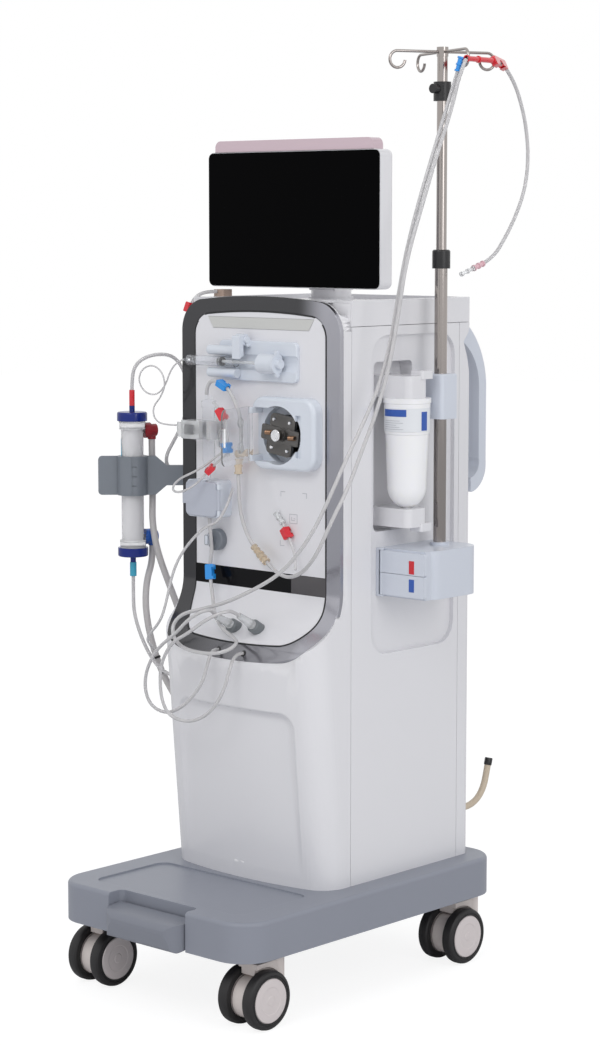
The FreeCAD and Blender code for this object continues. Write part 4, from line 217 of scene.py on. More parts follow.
def add(tree, kind, **values):
    """A node with its properties and inputs set."""
    node = tree.nodes.new(kind)
    for key, value in values.items():
        if hasattr(node, key):
            setattr(node, key, value)
        else:
            feed(tree, value, node.inputs[key.replace("_", " ")])
    return node


def math_node(tree, operation, *values):
    """The result of a sum on outputs and plain numbers."""
    node = add(tree, "ShaderNodeMath", operation=operation)
    for socket, value in zip(node.inputs, values):
        feed(tree, value, socket)
    return node.outputs[0]


def mixed(tree, share, first, second, blend="MIX"):
    """Two colours, plain or driven, mixed by a share."""
    node = add(tree, "ShaderNodeMix", data_type="RGBA", blend_type=blend)
    for index, value in ((0, share), (6, first), (7, second)):
        feed(tree, value, node.inputs[index])
    return node.outputs[2]


def moulded_surface_group():
    """Moulded plastic or paint: faint mottling, fine grain and softly broken edges."""
    tree, given, out = new_group(
        "moulded_surface",
        [
            ("Colour", "Color", (0.8, 0.8, 0.8, 1)),
            ("Mottle", "Float", 0.03),
            ("Roughness", "Float", 0.3),
            ("Roughness Spread", "Float", 0.05),
            ("Grain Scale", "Float", 900.0),
            ("Grain Depth", "Float", 0.00002),
            ("Edge Radius", "Float", 0.0006),
        ],
        [("Colour", "Color"), ("Roughness", "Float"), ("Normal", "Vector")],
    )
    given = given.outputs
    place = add(tree, "ShaderNodeTexCoord").outputs["Object"]
    cloud = add(tree, "ShaderNodeTexNoise", Vector=place, Scale=7.0, Detail=4.0)
    grain = add(tree, "ShaderNodeTexNoise", Vector=place, Scale=given["Grain Scale"], Detail=2.0)
    smear = add(tree, "ShaderNodeTexNoise", Vector=place, Scale=24.0, Detail=3.0, Distortion=0.6)
    swing = math_node(tree, "SUBTRACT", cloud.outputs["Fac"], 0.5)
    shade = math_node(tree, "MULTIPLY_ADD", swing, given["Mottle"], 1.0)
    feed(tree, mixed(tree, 1.0, given["Colour"], shade, "MULTIPLY"), out.inputs["Colour"])
    spread = math_node(tree, "SUBTRACT", smear.outputs["Fac"], 0.5)
    rough = math_node(tree, "MULTIPLY_ADD", spread, given["Roughness Spread"], given["Roughness"])
    feed(tree, rough, out.inputs["Roughness"])
    edge = add(tree, "ShaderNodeBevel", samples=4, Radius=given["Edge Radius"])
    bump = add(tree, "ShaderNodeBump", Strength=0.35, Distance=given["Grain Depth"],
               Height=grain.outputs["Fac"], Normal=edge.outputs["Normal"])
    feed(tree, bump.outputs["Normal"], out.inputs["Normal"])
    return tree


def worn_edge_group():
    """A mask of the edges that hands, feet and cleaning rub pale."""
    tree, given, out = new_group("worn_edge", [("Radius", "Float", 0.003), ("Breakup", "Float", 40.0)],
                                 [("Mask", "Float")])
    place = add(tree, "ShaderNodeTexCoord").outputs["Object"]
    shape = add(tree, "ShaderNodeNewGeometry")
    edge = add(tree, "ShaderNodeBevel", samples=4, Radius=given.outputs["Radius"])
    turn = add(tree, "ShaderNodeVectorMath", operation="DOT_PRODUCT")
    tree.links.new(shape.outputs["Normal"], turn.inputs[0])
    tree.links.new(edge.outputs["Normal"], turn.inputs[1])
    sharp = math_node(tree, "SUBTRACT", 1.0, turn.outputs["Value"])
    sharp = math_node(tree, "MULTIPLY", sharp, 5.0)
    breakup = add(tree, "ShaderNodeTexNoise", Vector=place, Scale=given.outputs["Breakup"], Detail=5.0)
    rubbed = add(tree, "ShaderNodeClamp", Value=math_node(tree, "MULTIPLY", sharp, breakup.outputs["Fac"]))
    feed(tree, rubbed.outputs["Result"], out.inputs["Mask"])
    return tree


def drawn_metal_group():
    """Fine lines along Z, as drawn and polished tube has."""
    tree, given, out = new_group(
        "drawn_metal",
        [("Roughness", "Float", 0.18), ("Spread", "Float", 0.12), ("Depth", "Float", 0.00001)],
        [("Roughness", "Float"), ("Normal", "Vector")],
    )
    given = given.outputs
    place = add(tree, "ShaderNodeTexCoord").outputs["Object"]
    stretch = add(tree, "ShaderNodeMapping", Vector=place, Scale=(900, 900, 6))
    lines = add(tree, "ShaderNodeTexNoise", Vector=stretch.outputs["Vector"], Scale=1.0, Detail=3.0)
    swing = math_node(tree, "SUBTRACT", lines.outputs["Fac"], 0.5)
    rough = math_node(tree, "MULTIPLY_ADD", swing, given["Spread"], given["Roughness"])
    feed(tree, rough, out.inputs["Roughness"])
    bump = add(tree, "ShaderNodeBump", Strength=0.2, Distance=given["Depth"], Height=lines.outputs["Fac"])
    feed(tree, bump.outputs["Normal"], out.inputs["Normal"])
    return tree


GROUPS = {}


def group(name):
    """The named shader group, built on its first use."""
    makers = {
        "moulded_surface": moulded_surface_group,
        "worn_edge": worn_edge_group,
        "drawn_metal": drawn_metal_group,
        "graphite_to_silver": frame_reflection_group,
    }
    if name not in GROUPS:
        GROUPS[name] = makers[name]()
    return GROUPS[name]


def place_group(tree, name, **values):
    """The named group as a node, with its inputs set."""
    return add(tree, "ShaderNodeGroup", node_tree=group(name), **values)


# Materials


MATERIALS = {}


def blank_material(name):
    """A new material's tree and shader, with the tree's default nodes."""
    material = bpy.data.materials.new(name)
    material.use_nodes = True
    MATERIALS[name] = material
    return material.node_tree, material.node_tree.nodes["Principled BSDF"]


def base_colour(name):
    """A material's tree, the input of its base colour and the output that drives it."""
    tree = MATERIALS[name].node_tree
    base = tree.nodes["Principled BSDF"].inputs["Base Color"]
    return tree, base, base.links[0].from_socket


def moulded(name, colour, roughness, mottle=0.03, grain=900.0, depth=0.00002, edge=0.0006, **shader_values):
    """Plastic or paint on the moulded_surface group, with any other shader inputs set plainly."""
    tree, shader = blank_material(name)
    skin = place_group(tree, "moulded_surface", Colour=(*colour, 1), Mottle=mottle, Roughness=roughness,
                       Grain_Scale=grain, Grain_Depth=depth, Edge_Radius=edge)
    for output, value in (("Colour", "Base Color"), ("Roughness", "Roughness"), ("Normal", "Normal")):
        tree.links.new(skin.outputs[output], shader.inputs[value])
    for key, value in shader_values.items():
        shader.inputs[key.replace("_", " ")].default_value = value


def worn(name, colour, radius, amount):
    """Adds the pale rubbed edge to a moulded material."""
    tree, base, before = base_colour(name)
    mask = place_group(tree, "worn_edge", Radius=radius)
    part = math_node(tree, "MULTIPLY", mask.outputs["Mask"], amount)
    feed(tree, mixed(tree, part, before, (*colour, 1)), base)


def drawn(name, colour, roughness, spread):
    """Polished or brushed metal tube."""
    tree, shader = blank_material(name)
    lines = place_group(tree, "drawn_metal", Roughness=roughness, Spread=spread)
    for label in ("Roughness", "Normal"):
        tree.links.new(lines.outputs[label], shader.inputs[label])
    shader.inputs["Base Color"].default_value = (*colour, 1)
    shader.inputs["Metallic"].default_value = 1.0


def painted_reflection(name, colour):
    """Paints shade into a material: a darker colour takes over where the painted reflection's mask is low."""
    tree, base, bright = base_colour(name)
    mask = place_group(tree, "graphite_to_silver").outputs["Mask"]
    feed(tree, mixed(tree, mask, (*colour, 1), bright), base)


def clear(name, colour, roughness, ior, transmission, coat):
    """Clear or tinted plastic."""
    tree, shader = blank_material(name)
    skin = place_group(tree, "moulded_surface", Colour=(*colour, 1), Mottle=0.02, Roughness=roughness,
                       Edge_Radius=0.0003)
    tree.links.new(skin.outputs["Colour"], shader.inputs["Base Color"])
    tree.links.new(skin.outputs["Roughness"], shader.inputs["Roughness"])
    for label, value in (("IOR", ior), ("Transmission Weight", transmission), ("Coat Weight", coat)):
        shader.inputs[label].default_value = value


def frame_reflection_group():
    """Mask of the painted reflection on the frame: low on the left and top, where it gives painted shade, and high
    towards the right and the foot, where it gives a painted highlight.
    """
    tree, given, made = new_group("graphite_to_silver", [("Start", "Float", 0.095), ("End", "Float", 0.162)],
                                  [("Mask", "Float")])
    place = add(tree, "ShaderNodeTexCoord").outputs["Object"]
    across, upward = (add(tree, "ShaderNodeSeparateXYZ", Vector=place).outputs[axis] for axis in "XZ")

    def ramp(source, start, end):
        node = add(tree, "ShaderNodeMapRange", interpolation_type="SMOOTHSTEP", Value=source, From_Min=start,
                   From_Max=end)
        return node.outputs["Result"]

    right = ramp(across, given.outputs["Start"], given.outputs["End"])
    foot = math_node(tree, "MULTIPLY", ramp(upward, 0.70, 0.60), ramp(across, -0.14, 0.14))
    foot = math_node(tree, "MULTIPLY", foot, 0.7)
    feed(tree, math_node(tree, "MAXIMUM", right, foot), made.inputs["Mask"])
    return tree


def colour_of(name):
    """A colour from the settings."""
    return tuple(getattr(bpy.context.scene.dialysis_colours, name))


# Coats of the glossy mouldings
SHEEN = {"Coat_Weight": 0.25, "Coat_Roughness": 0.08}
LACQUER = {"Coat_Weight": 0.3, "Coat_Roughness": 0.06}

# Mouldings and paints: name, colour (None takes the setting of that name), roughness and what else differs
MOULDED = (
    ("casing_white", None, 0.24, dict(mottle=0.02, grain=1400.0, depth=0.00001, **SHEEN)),
    ("panel_white", None, 0.2, dict(mottle=0.02, depth=0.00001, **LACQUER)),
    ("base_slate", None, 0.42, dict(mottle=0.05, grain=1100.0, depth=0.00005, edge=0.0012)),
    ("caster_beige", None, 0.36, dict(mottle=0.04, edge=0.001)),
    ("tyre_black", (0.018, 0.017, 0.018), 0.5,
     dict(mottle=0.1, grain=600.0, depth=0.00004, Specular_IOR_Level=0.4)),
    ("hub_grey", (0.70, 0.64, 0.635), 0.35, dict(mottle=0.05)),
    ("frame_silver", None, 0.2,
     dict(mottle=0.05, grain=2500.0, depth=0.000006, edge=0.0015, Metallic=0.9, **SHEEN)),
    ("band_black", (0.004, 0.004, 0.005), 0.12, dict(mottle=0.0, Specular_IOR_Level=0.15)),
    ("window_grey", (0.10, 0.095, 0.10), 0.2, dict(mottle=0.02, Specular_IOR_Level=0.3)),
    # Painted shade for the gap round the front panel
    ("gasket_dark", (0.022, 0.022, 0.024), 0.5, dict(mottle=0.05, Specular_IOR_Level=0.3)),
    ("spring_copper", (0.42, 0.26, 0.17), 0.3, dict(mottle=0.05, Metallic=1.0)),
    ("fitting_tan", (0.42, 0.31, 0.25), 0.35, dict(mottle=0.06, edge=0.0008)),
    ("lamp_strip", (0.62, 0.62, 0.60), 0.3, dict(mottle=0.02, Emission_Strength=0.0)),
    ("grommet_black", (0.008, 0.008, 0.009), 0.35, dict(mottle=0.05)),
    ("pump_grey", None, 0.24, dict(mottle=0.02, depth=0.00001, edge=0.001, **SHEEN)),
    ("lid_grey", (0.50, 0.525, 0.60), 0.26, dict(mottle=0.02, edge=0.0008)),
    ("handle_blue_grey", None, 0.3, dict(edge=0.001, Coat_Weight=0.15)),
    ("arm_grey", None, 0.38, dict(mottle=0.04, depth=0.00003, edge=0.0008)),
    ("black_plastic", (0.012, 0.012, 0.013), 0.36, dict(mottle=0.1, edge=0.0008)),
    ("screen_black", (0.0012, 0.0012, 0.0015), 0.06, dict(mottle=0.0, depth=0.0, Specular_IOR_Level=0.02)),
    ("chassis_grey", (0.30, 0.31, 0.33), 0.45, {}),
    ("module_dark", (0.12, 0.125, 0.135), 0.5, {}),
    ("rotor_metal", (0.13, 0.125, 0.12), 0.3, dict(mottle=0.12, edge=0.0008, Metallic=1.0)),
    ("cap_cobalt", None, 0.2, dict(mottle=0.02, edge=0.0008, Specular_IOR_Level=0.4)),
    ("clamp_red", None, 0.22, dict(edge=0.0005, Coat_Weight=0.3)),
    ("clamp_blue", None, 0.22, dict(edge=0.0005, Coat_Weight=0.3)),
    ("plug_dark_red", (0.28, 0.012, 0.02), 0.25, {}),
    ("plug_blue", (0.02, 0.10, 0.42), 0.25, {}),
    ("teal", (0.05, 0.38, 0.55), 0.25, dict(edge=0.0005)),
    ("plug_grey", (0.17, 0.185, 0.195), 0.42, dict(mottle=0.08, depth=0.00004, edge=0.0008)),
    ("hose_grey", None, 0.38, dict(mottle=0.05)),
    ("hose_beige", None, 0.4, dict(mottle=0.05)),
    ("fibre_white", (0.93, 0.92, 0.94), 0.55, dict(mottle=0.02)),
    ("cartridge_white", None, 0.3, dict(Subsurface_Weight=0.3, Subsurface_Radius=(0.01, 0.01, 0.012))),
    ("alarm_lamp", (0.64, 0.50, 0.55), 0.25, dict(mottle=0.02, Coat_Weight=0.2, Coat_Roughness=0.05)),
    ("label_white", (0.80, 0.82, 0.85), 0.4, dict(mottle=0.02)),
    ("label_blue", (0.03, 0.10, 0.42), 0.35, {}),
    ("label_cyan", (0.05, 0.42, 0.66), 0.3, dict(mottle=0.02)),
    ("mark_red", (0.62, 0.02, 0.03), 0.3, {}),
    ("icon_grey", (0.42, 0.43, 0.47), 0.4, {}),
    ("pink_sleeve", (0.78, 0.50, 0.55), 0.3, {}),
)

# Clear plastics: name, colour, roughness, refraction, transmission, coat
CLEAR = (
    ("tube_clear", (0.80, 0.79, 0.80), 0.16, 1.3, 0.4, 0.3),
    ("case_clear", (0.96, 0.97, 0.99), 0.04, 1.2, 0.95, 0.15),
    ("dialyser_clear", (0.97, 0.97, 0.985), 0.08, 1.2, 0.62, 0.3),
    ("door_clear", (0.95, 0.955, 0.97), 0.05, 1.25, 0.93, 0.2),
    ("amber_clear", (0.90, 0.78, 0.62), 0.14, 1.35, 0.6, 0.2),
    ("nozzle_clear", (0.90, 0.91, 0.92), 0.2, 1.4, 0.6, 0.2),
)


def make_materials():
    """Every finish of the machine."""
    for name, colour, roughness, values in MOULDED:
        moulded(name, colour or colour_of(name), roughness, **values)
    shade = 0.82  # the pedal's share of the base's colour
    moulded("pedal_slate", tuple(shade * part for part in colour_of("base_slate")), 0.45, mottle=0.05,
            depth=0.00006, edge=0.001)
    worn("base_slate", (0.42, 0.47, 0.53), 0.004, 0.3)
    # The frame's colour darkens on its left and top and brightens towards the right and foot: painted reflection
    # and painted shade
    painted_reflection("frame_silver", colour_of("frame_painted_shade"))
    drawn("pole_steel", (0.36, 0.33, 0.315), 0.12, 0.1)
    drawn("chrome", (0.72, 0.72, 0.73), 0.08, 0.05)
    for row in CLEAR:
        clear(*row)


# Meshes and pieces


def as_mesh(bm, name):
    mesh = bpy.data.meshes.new(name)
    bm.to_mesh(mesh)
    bm.free()
    return mesh


def piece(name, mesh, material, body, slot, replaces=(), crease=32):
    """A finished piece: linked, shaded and riding on its body, with the nodes it replaces hidden."""
    if isinstance(mesh, bmesh.types.BMesh):
        mesh = as_mesh(mesh, name)
    obj = bpy.data.objects.new(name, mesh)
    bpy.context.scene.collection.objects.link(obj)
    mesh.materials.clear()
    mesh.materials.append(MATERIALS[material])
    if mesh.polygons:
        mesh.polygons.foreach_set("use_smooth", [True] * len(mesh.polygons))
        mesh.set_sharp_from_angle(angle=math.radians(crease))
    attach(obj, body)
    if replaces:
        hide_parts(*replaces)


def dress(node, material):
    """Gives a node of the model its finish."""
    mesh = NODES[node].data
    mesh.materials.clear()
    mesh.materials.append(MATERIALS[material])


def solids_of(node):
    """The separate solids of a node, as merged meshes with the middle of each."""
    whole = bmesh.new()
    whole.from_mesh(NODES[node].data)
    bmesh.ops.remove_doubles(whole, verts=whole.verts, dist=1e-6)
    whole.verts.index_update()
    whole.faces.index_update()
    seen = set()
    found = []
    for start in whole.faces:
        if start.index in seen:
            continue
        island = []
        stack = [start]
        seen.add(start.index)
        while stack:
            face = stack.pop()
            island.append(face)
            for edge in face.edges:
                if len(edge.link_faces) != 2:
                    continue
                for other in edge.link_faces:
                    if other.index not in seen:
                        seen.add(other.index)
                        stack.append(other)
        part = bmesh.new()
        copies = {}
        for face in island:
            for vert in face.verts:
                if vert.index not in copies:
                    copies[vert.index] = part.verts.new(vert.co)
            part.faces.new([copies[vert.index] for vert in face.verts])
        places = [vert.co for vert in part.verts]
        low = Vector([min(place[i] for place in places) for i in range(3)])
        high = Vector([max(place[i] for place in places) for i in range(3)])
        found.append(((low + high) / 2, len(island), as_mesh(part, node + "_part")))
    whole.free()
    return found


def split(node, slot, named):
    """Replaces a node by one piece for each solid. named gives (name, middle, material) for each."""
    groups = {name: [] for name, middle, material in named}
    found = sorted(solids_of(node), key=lambda part: -part[1])
    for middle, count, mesh in found:
        taken = [count > 40 and bool(groups[row[0]]) for row in named]
        away = [(at(*row[1]) - middle).length for row in named]
        groups[min(zip(taken, away, [row[0] for row in named]))[2]].append(mesh)
    for name, middle, material in named:
        bm = bmesh.new()
        for mesh in groups[name]:
            bm.from_mesh(mesh)
        piece(name, bm, material, BODY_OF[node], slot, (node,))


def lathe(profile, origin, axis, segments=48, bm=None):
    """Spins (radius, height) points about an axis through origin, into a closed mesh."""
    bm = bm or bmesh.new()
    turn = Vector((0, 0, 1)).rotation_difference(Vector(axis).normalized()).to_matrix()
    rings = []
    for radius, height in profile:
        if radius < 1e-7:
            rings.append([bm.verts.new(Vector(origin) + turn @ Vector((0, 0, height)))])
            continue
        ring = []
        for step in range(segments):
            angle = 2 * math.pi * step / segments
            spoke = Vector((radius * math.cos(angle), radius * math.sin(angle), height))
            ring.append(bm.verts.new(Vector(origin) + turn @ spoke))
        rings.append(ring)
    for lower, upper in zip(rings, rings[1:]):
        for step in range(segments):
            after = (step + 1) % segments
            if len(lower) == 1 and len(upper) == 1:
                continue
            if len(lower) == 1:
                bm.faces.new((lower[0], upper[after], upper[step]))
            elif len(upper) == 1:
                bm.faces.new((lower[step], lower[after], upper[0]))
            else:
                bm.faces.new((lower[step], lower[after], upper[after], upper[step]))
    bmesh.ops.recalc_face_normals(bm, faces=bm.faces)
    return bm


def rounded_block(low, high, radius, bm=None, segments=4):
    """A block between two corners with every edge rounded."""
    bm = bm or bmesh.new()
    low, high = Vector(low), Vector(high)
    made = bmesh.ops.create_cube(bm, size=1)
    for vert in made["verts"]:
        vert.co = Vector([low[i] + (vert.co[i] + 0.5) * (high[i] - low[i]) for i in range(3)])
    edges = list(dict.fromkeys(edge for vert in made["verts"] for edge in vert.link_edges))
    bmesh.ops.bevel(bm, geom=edges, offset=radius, segments=segments, affect="EDGES", profile=0.5)
    return bm


def plate(name, low, high, radius, *finish):
    """A rounded block between two places as a piece of its own."""
    piece(name, rounded_block(at(*low), at(*high), radius), *finish)


def route_line(points):
    """Even points along the smooth line that a tube's route makes."""
    curve = bpy.data.curves.new("route", "CURVE")
    curve.dimensions = "3D"
    curve.resolution_u = 8
    spline = curve.splines.new("NURBS")
    spline.points.add(len(points) - 1)
    for point, place in zip(spline.points, points):
        point.co = (*place, 1)
    spline.order_u = 3
    spline.use_endpoint_u = True
    holder = bpy.data.objects.new("route", curve)
    bpy.context.scene.collection.objects.link(holder)
    bpy.context.view_layer.update()
    mesh = bpy.data.meshes.new_from_object(holder.evaluated_get(bpy.context.evaluated_depsgraph_get()))
    line = [vert.co.copy() for vert in mesh.vertices]
    bpy.data.objects.remove(holder)
    bpy.data.curves.remove(curve)
    bpy.data.meshes.remove(mesh)
    return line


def tube_mesh(name, line, radius, wall=None, sides=14):
    """A tube along a line of points, with an inner wall where it is clear, and closed ends."""
    bm = bmesh.new()
    tangents = []
    for index in range(len(line)):
        before = line[max(index - 1, 0)]
        after = line[min(index + 1, len(line) - 1)]
        tangents.append((after - before).normalized())
    up = tangents[0].orthogonal().normalized()
    radii = [radius] if wall is None else [radius, radius - wall]
    rings = []
    for index, (point, tangent) in enumerate(zip(line, tangents)):
        if index:
            up = tangents[index - 1].rotation_difference(tangent) @ up
            up = (up - tangent * up.dot(tangent)).normalized()
        side = tangent.cross(up)
        turns = [2 * math.pi * k / sides for k in range(sides)]
        rings.append([
            [bm.verts.new(point + size * (up * math.cos(turn) + side * math.sin(turn))) for turn in turns]
            for size in radii
        ])
    for before, after in zip(rings, rings[1:]):
        for layer in range(len(radii)):
            for k in range(sides):
                n = (k + 1) % sides
                quad = [before[layer][k], before[layer][n], after[layer][n], after[layer][k]]
                bm.faces.new(quad if layer == 0 else quad[::-1])
    for row, first in ((rings[0], True), (rings[-1], False)):
        if wall is None:
            bm.faces.new(row[0][::-1] if first else row[0])
            continue
        for k in range(sides):
            n = (k + 1) % sides
            quad = [row[0][n], row[0][k], row[1][k], row[1][n]]
            bm.faces.new(quad if first else quad[::-1])
    bmesh.ops.recalc_face_normals(bm, faces=bm.faces)
    return as_mesh(bm, name)


# Settings


def tint(label, description, value):
    """A colour setting."""
    return bpy.props.FloatVectorProperty(name=label, description=description, default=value, subtype="COLOR")


class DialysisColours(bpy.types.PropertyGroup):
    """Base colours of the finishes, as linear values."""

    casing_white: tint("Casing white", "Gloss casing panels", (0.79, 0.785, 0.81))
    panel_white: tint("Panel white", "Front panel inside the frame", (0.80, 0.795, 0.825))
    base_slate: tint("Base slate", "Trolley base moulding", (0.265, 0.28, 0.33))
    caster_beige: tint("Caster beige", "Caster forks", (0.74, 0.67, 0.64))
    frame_silver: tint("Frame silver", "Metallic paint of the front frame", (0.40, 0.40, 0.44))
    # Painted shade: the dark end of the frame's painted reflection
    frame_painted_shade: tint("Frame painted shade", "Painted shade on the frame's left and top", (0.062, 0.062, 0.066))
    pump_grey: tint("Pump grey", "Pump and detector housings", (0.70, 0.74, 0.81))
    handle_blue_grey: tint("Handle blue-grey", "Rear handles and pole box", (0.64, 0.675, 0.75))
    arm_grey: tint("Arm grey", "Dialyser holder", (0.20, 0.22, 0.25))
    cap_cobalt: tint("Cap cobalt", "Caps of the dialyser", (0.007, 0.022, 0.20))
    clamp_red: tint("Clamp red", "Clamps of the arterial side", (0.72, 0.015, 0.03))
    clamp_blue: tint("Clamp blue", "Clamps of the venous side", (0.02, 0.30, 0.80))
    hose_grey: tint("Hose grey", "Dialysate hoses", (0.52, 0.50, 0.50))
    hose_beige: tint("Hose beige", "Drain hose at the back", (0.62, 0.52, 0.40))
    cartridge_white: tint("Cartridge white", "Bicarbonate cartridge", (0.93, 0.93, 0.95))


class DialysisSizes(bpy.types.PropertyGroup):
    """Sizes of the fine pieces."""

    tube_wall: bpy.props.FloatProperty(
        name="Tube wall", description="Wall of the clear tubes", default=0.0011, unit="LENGTH")
    fibre_count: bpy.props.IntProperty(
        name="Fibres", description="Fibres shown in the dialyser's bundle", default=220)
    fibre_radius: bpy.props.FloatProperty(
        name="Fibre radius", description="Radius of one fibre", default=0.0009, unit="LENGTH")


class DialysisStage(bpy.types.PropertyGroup):
    """Camera and light."""

    lens: bpy.props.FloatProperty(
        name="Lens", description="Focal length for a 36 mm high sensor", default=87.22, unit="CAMERA")
    azimuth: bpy.props.FloatProperty(
        name="Azimuth", description="Turn of the camera round the machine", default=math.radians(42.44),
        subtype="ANGLE")
    pitch: bpy.props.FloatProperty(
        name="Pitch", description="Downward tilt of the camera", default=math.radians(6.72), subtype="ANGLE")
    sky: bpy.props.FloatProperty(name="Sky", description="Strength of the even studio light", default=0.62)
    key: bpy.props.FloatProperty(
        name="Key", description="Soft box in front, high up", default=40.0, unit="POWER")
    fill: bpy.props.FloatProperty(
        name="Fill", description="Soft box on the right", default=30.0, unit="POWER")


# Operators

LINES = {}


class StageOperator(bpy.types.Operator):
    """Floor, studio light and the camera at the photograph's angle."""

    bl_idname = "dialysis.stage"
    bl_label = "Stage"

    def execute(self, context):
        settings = context.scene.dialysis_stage
        self.camera(context, settings)
        self.world(context, settings)
        self.floor(context)
        self.lamp(context, "key", (0.9, -3.2, 3.6), (0, 0, 0.85), settings.key, (1.8, 1.8))
        self.lamp(context, "fill", (3.6, -0.7, 2.4), (0, 0, 0.9), settings.fill, (1.6, 2.6))
        context.scene.view_settings.view_transform = "Standard"
        return {"FINISHED"}

    def camera(self, context, settings):
        data = bpy.data.cameras.new("camera")
        data.sensor_fit = "VERTICAL"
        data.sensor_height = 36
        data.lens = settings.lens
        data.clip_end = 60
        obj = bpy.data.objects.new("camera", data)
        obj.location = at(2.9819, -3.2074, 1.3166)
        obj.rotation_euler = (math.pi / 2 - settings.pitch, 0, settings.azimuth)
        context.scene.collection.objects.link(obj)
        context.scene.camera = obj

    def world(self, context, settings):
        world = bpy.data.worlds.new("studio")
        world.use_nodes = True
        tree = world.node_tree
        tree.nodes.clear()
        out = add(tree, "ShaderNodeOutputWorld")
        even = add(tree, "ShaderNodeBackground", Color=(0.97, 0.98, 1.0, 1), Strength=settings.sky)
        seen = add(tree, "ShaderNodeBackground", Color=(1, 1, 1, 1))
        ray = add(tree, "ShaderNodeLightPath")
        shows = math_node(tree, "ADD", ray.outputs["Is Camera Ray"], ray.outputs["Is Transmission Ray"])
        shows = math_node(tree, "ADD", shows, ray.outputs["Is Glossy Ray"])
        shows = math_node(tree, "MINIMUM", shows, 1.0)
        mix = add(tree, "ShaderNodeMixShader")
        tree.links.new(shows, mix.inputs["Fac"])
        tree.links.new(even.outputs[0], mix.inputs[1])
        tree.links.new(seen.outputs[0], mix.inputs[2])
        tree.links.new(mix.outputs[0], out.inputs["Surface"])
        context.scene.world = world

    def floor(self, context):
        bm = bmesh.new()
        bmesh.ops.create_grid(bm, x_segments=1, y_segments=1, size=14)
        obj = bpy.data.objects.new("floor", as_mesh(bm, "floor"))
        material = bpy.data.materials.new("floor")
        material.use_nodes = True
        tree = material.node_tree
        shader = tree.nodes["Principled BSDF"]
        shader.inputs["Base Color"].default_value = (0.86, 0.86, 0.87, 1)
        shader.inputs["Roughness"].default_value = 0.9
        glow = add(tree, "ShaderNodeEmission", Strength=1.2)
        ray = add(tree, "ShaderNodeLightPath")
        shows = math_node(tree, "ADD", ray.outputs["Is Camera Ray"], ray.outputs["Is Transmission Ray"])
        share = math_node(tree, "MULTIPLY", shows, 0.72)
        mix = add(tree, "ShaderNodeMixShader")
        tree.links.new(share, mix.inputs["Fac"])
        tree.links.new(shader.outputs[0], mix.inputs[1])
        tree.links.new(glow.outputs[0], mix.inputs[2])
        tree.links.new(mix.outputs[0], tree.nodes["Material Output"].inputs["Surface"])
        obj.data.materials.append(material)
        context.scene.collection.objects.link(obj)

    def lamp(self, context, name, place, target, power, size):
        data = bpy.data.lights.new(name, "AREA")
        data.shape = "RECTANGLE"
        data.size, data.size_y = size
        data.energy = power
        obj = bpy.data.objects.new(name, data)
        obj.location = place
        obj.rotation_euler = (Vector(target) - Vector(place)).to_track_quat("-Z", "Y").to_euler()
        context.scene.collection.objects.link(obj)


class LinesOperator(bpy.types.Operator):
    """Blood lines, rinse lines, sensor tubes and hoses along their routes."""

    bl_idname = "dialysis.lines"
    bl_label = "Lines"

    def execute(self, context):
        wall = context.scene.dialysis_sizes.tube_wall
        thin = wall * 0.7
        pole = ("machine", "pole_top", at(0.26, 0, 0.9), at(0.26, 0, 1.5))
        swing = ("machine", "arm", at(-0.218, 0, 0.9), at(-0.25, 0, 0.9))
        low_swing = ("machine", "arm", at(-0.25, -0.05, 0.6), at(-0.25, -0.05, 0.73))
        lower_swing = ("machine", "arm", at(-0.25, -0.05, 0.53), at(-0.25, -0.05, 0.67))
        self.line("venous_line", BLOOD_LINE, wall, pole)
        self.line("arterial_line", BLOOD_LINE, wall, pole)
        self.line("access_line", BLOOD_LINE, wall, "pole_top")
        self.line("dialyser_top_line", BLOOD_LINE, wall, swing)
        self.line("dialyser_bottom_line", BLOOD_LINE, wall, lower_swing)
        self.line("chamber_arch_line", BLOOD_LINE, wall, "machine")
        self.line("heparin_line", HEPARIN_LINE, thin, "machine")
        self.line("rinse_line_left", RINSE_LINE, wall, "machine")
        self.line("rinse_line_right", RINSE_LINE, wall, "machine")
        self.line("detector_line", DETECTOR_LINE, thin, "machine")
        self.line("sample_line", SAMPLE_LINE, thin, "machine")
        self.line("dialysate_hose_supply", HOSE, None, low_swing, "hose_grey", "hose")
        self.line("dialysate_hose_return", HOSE, None, lower_swing, "hose_grey", "hose")
        self.line("drain_hose", HOSE, None, "machine", "hose_beige", "beige_hose")
        return {"FINISHED"}

    def line(self, node, diameter, wall, holder, material="tube_clear", slot="tube"):
        """One tube: it rides on a body, or, where two bodies are given, is fixed in place."""
        points = route_line([at(*point) for point in ROUTES[node]])
        mesh = tube_mesh(node + "_tube", points, diameter / 2, wall)
        obj = bpy.data.objects.new(node + "_tube", mesh)
        bpy.context.scene.collection.objects.link(obj)
        mesh.materials.append(MATERIALS[material])
        mesh.polygons.foreach_set("use_smooth", [True] * len(mesh.polygons))
        mesh.set_sharp_from_angle(angle=math.radians(60))
        if isinstance(holder, str):
            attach(obj, holder)
        else:
            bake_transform(obj)
        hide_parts(node)
        LINES[node] = (obj, points, diameter)


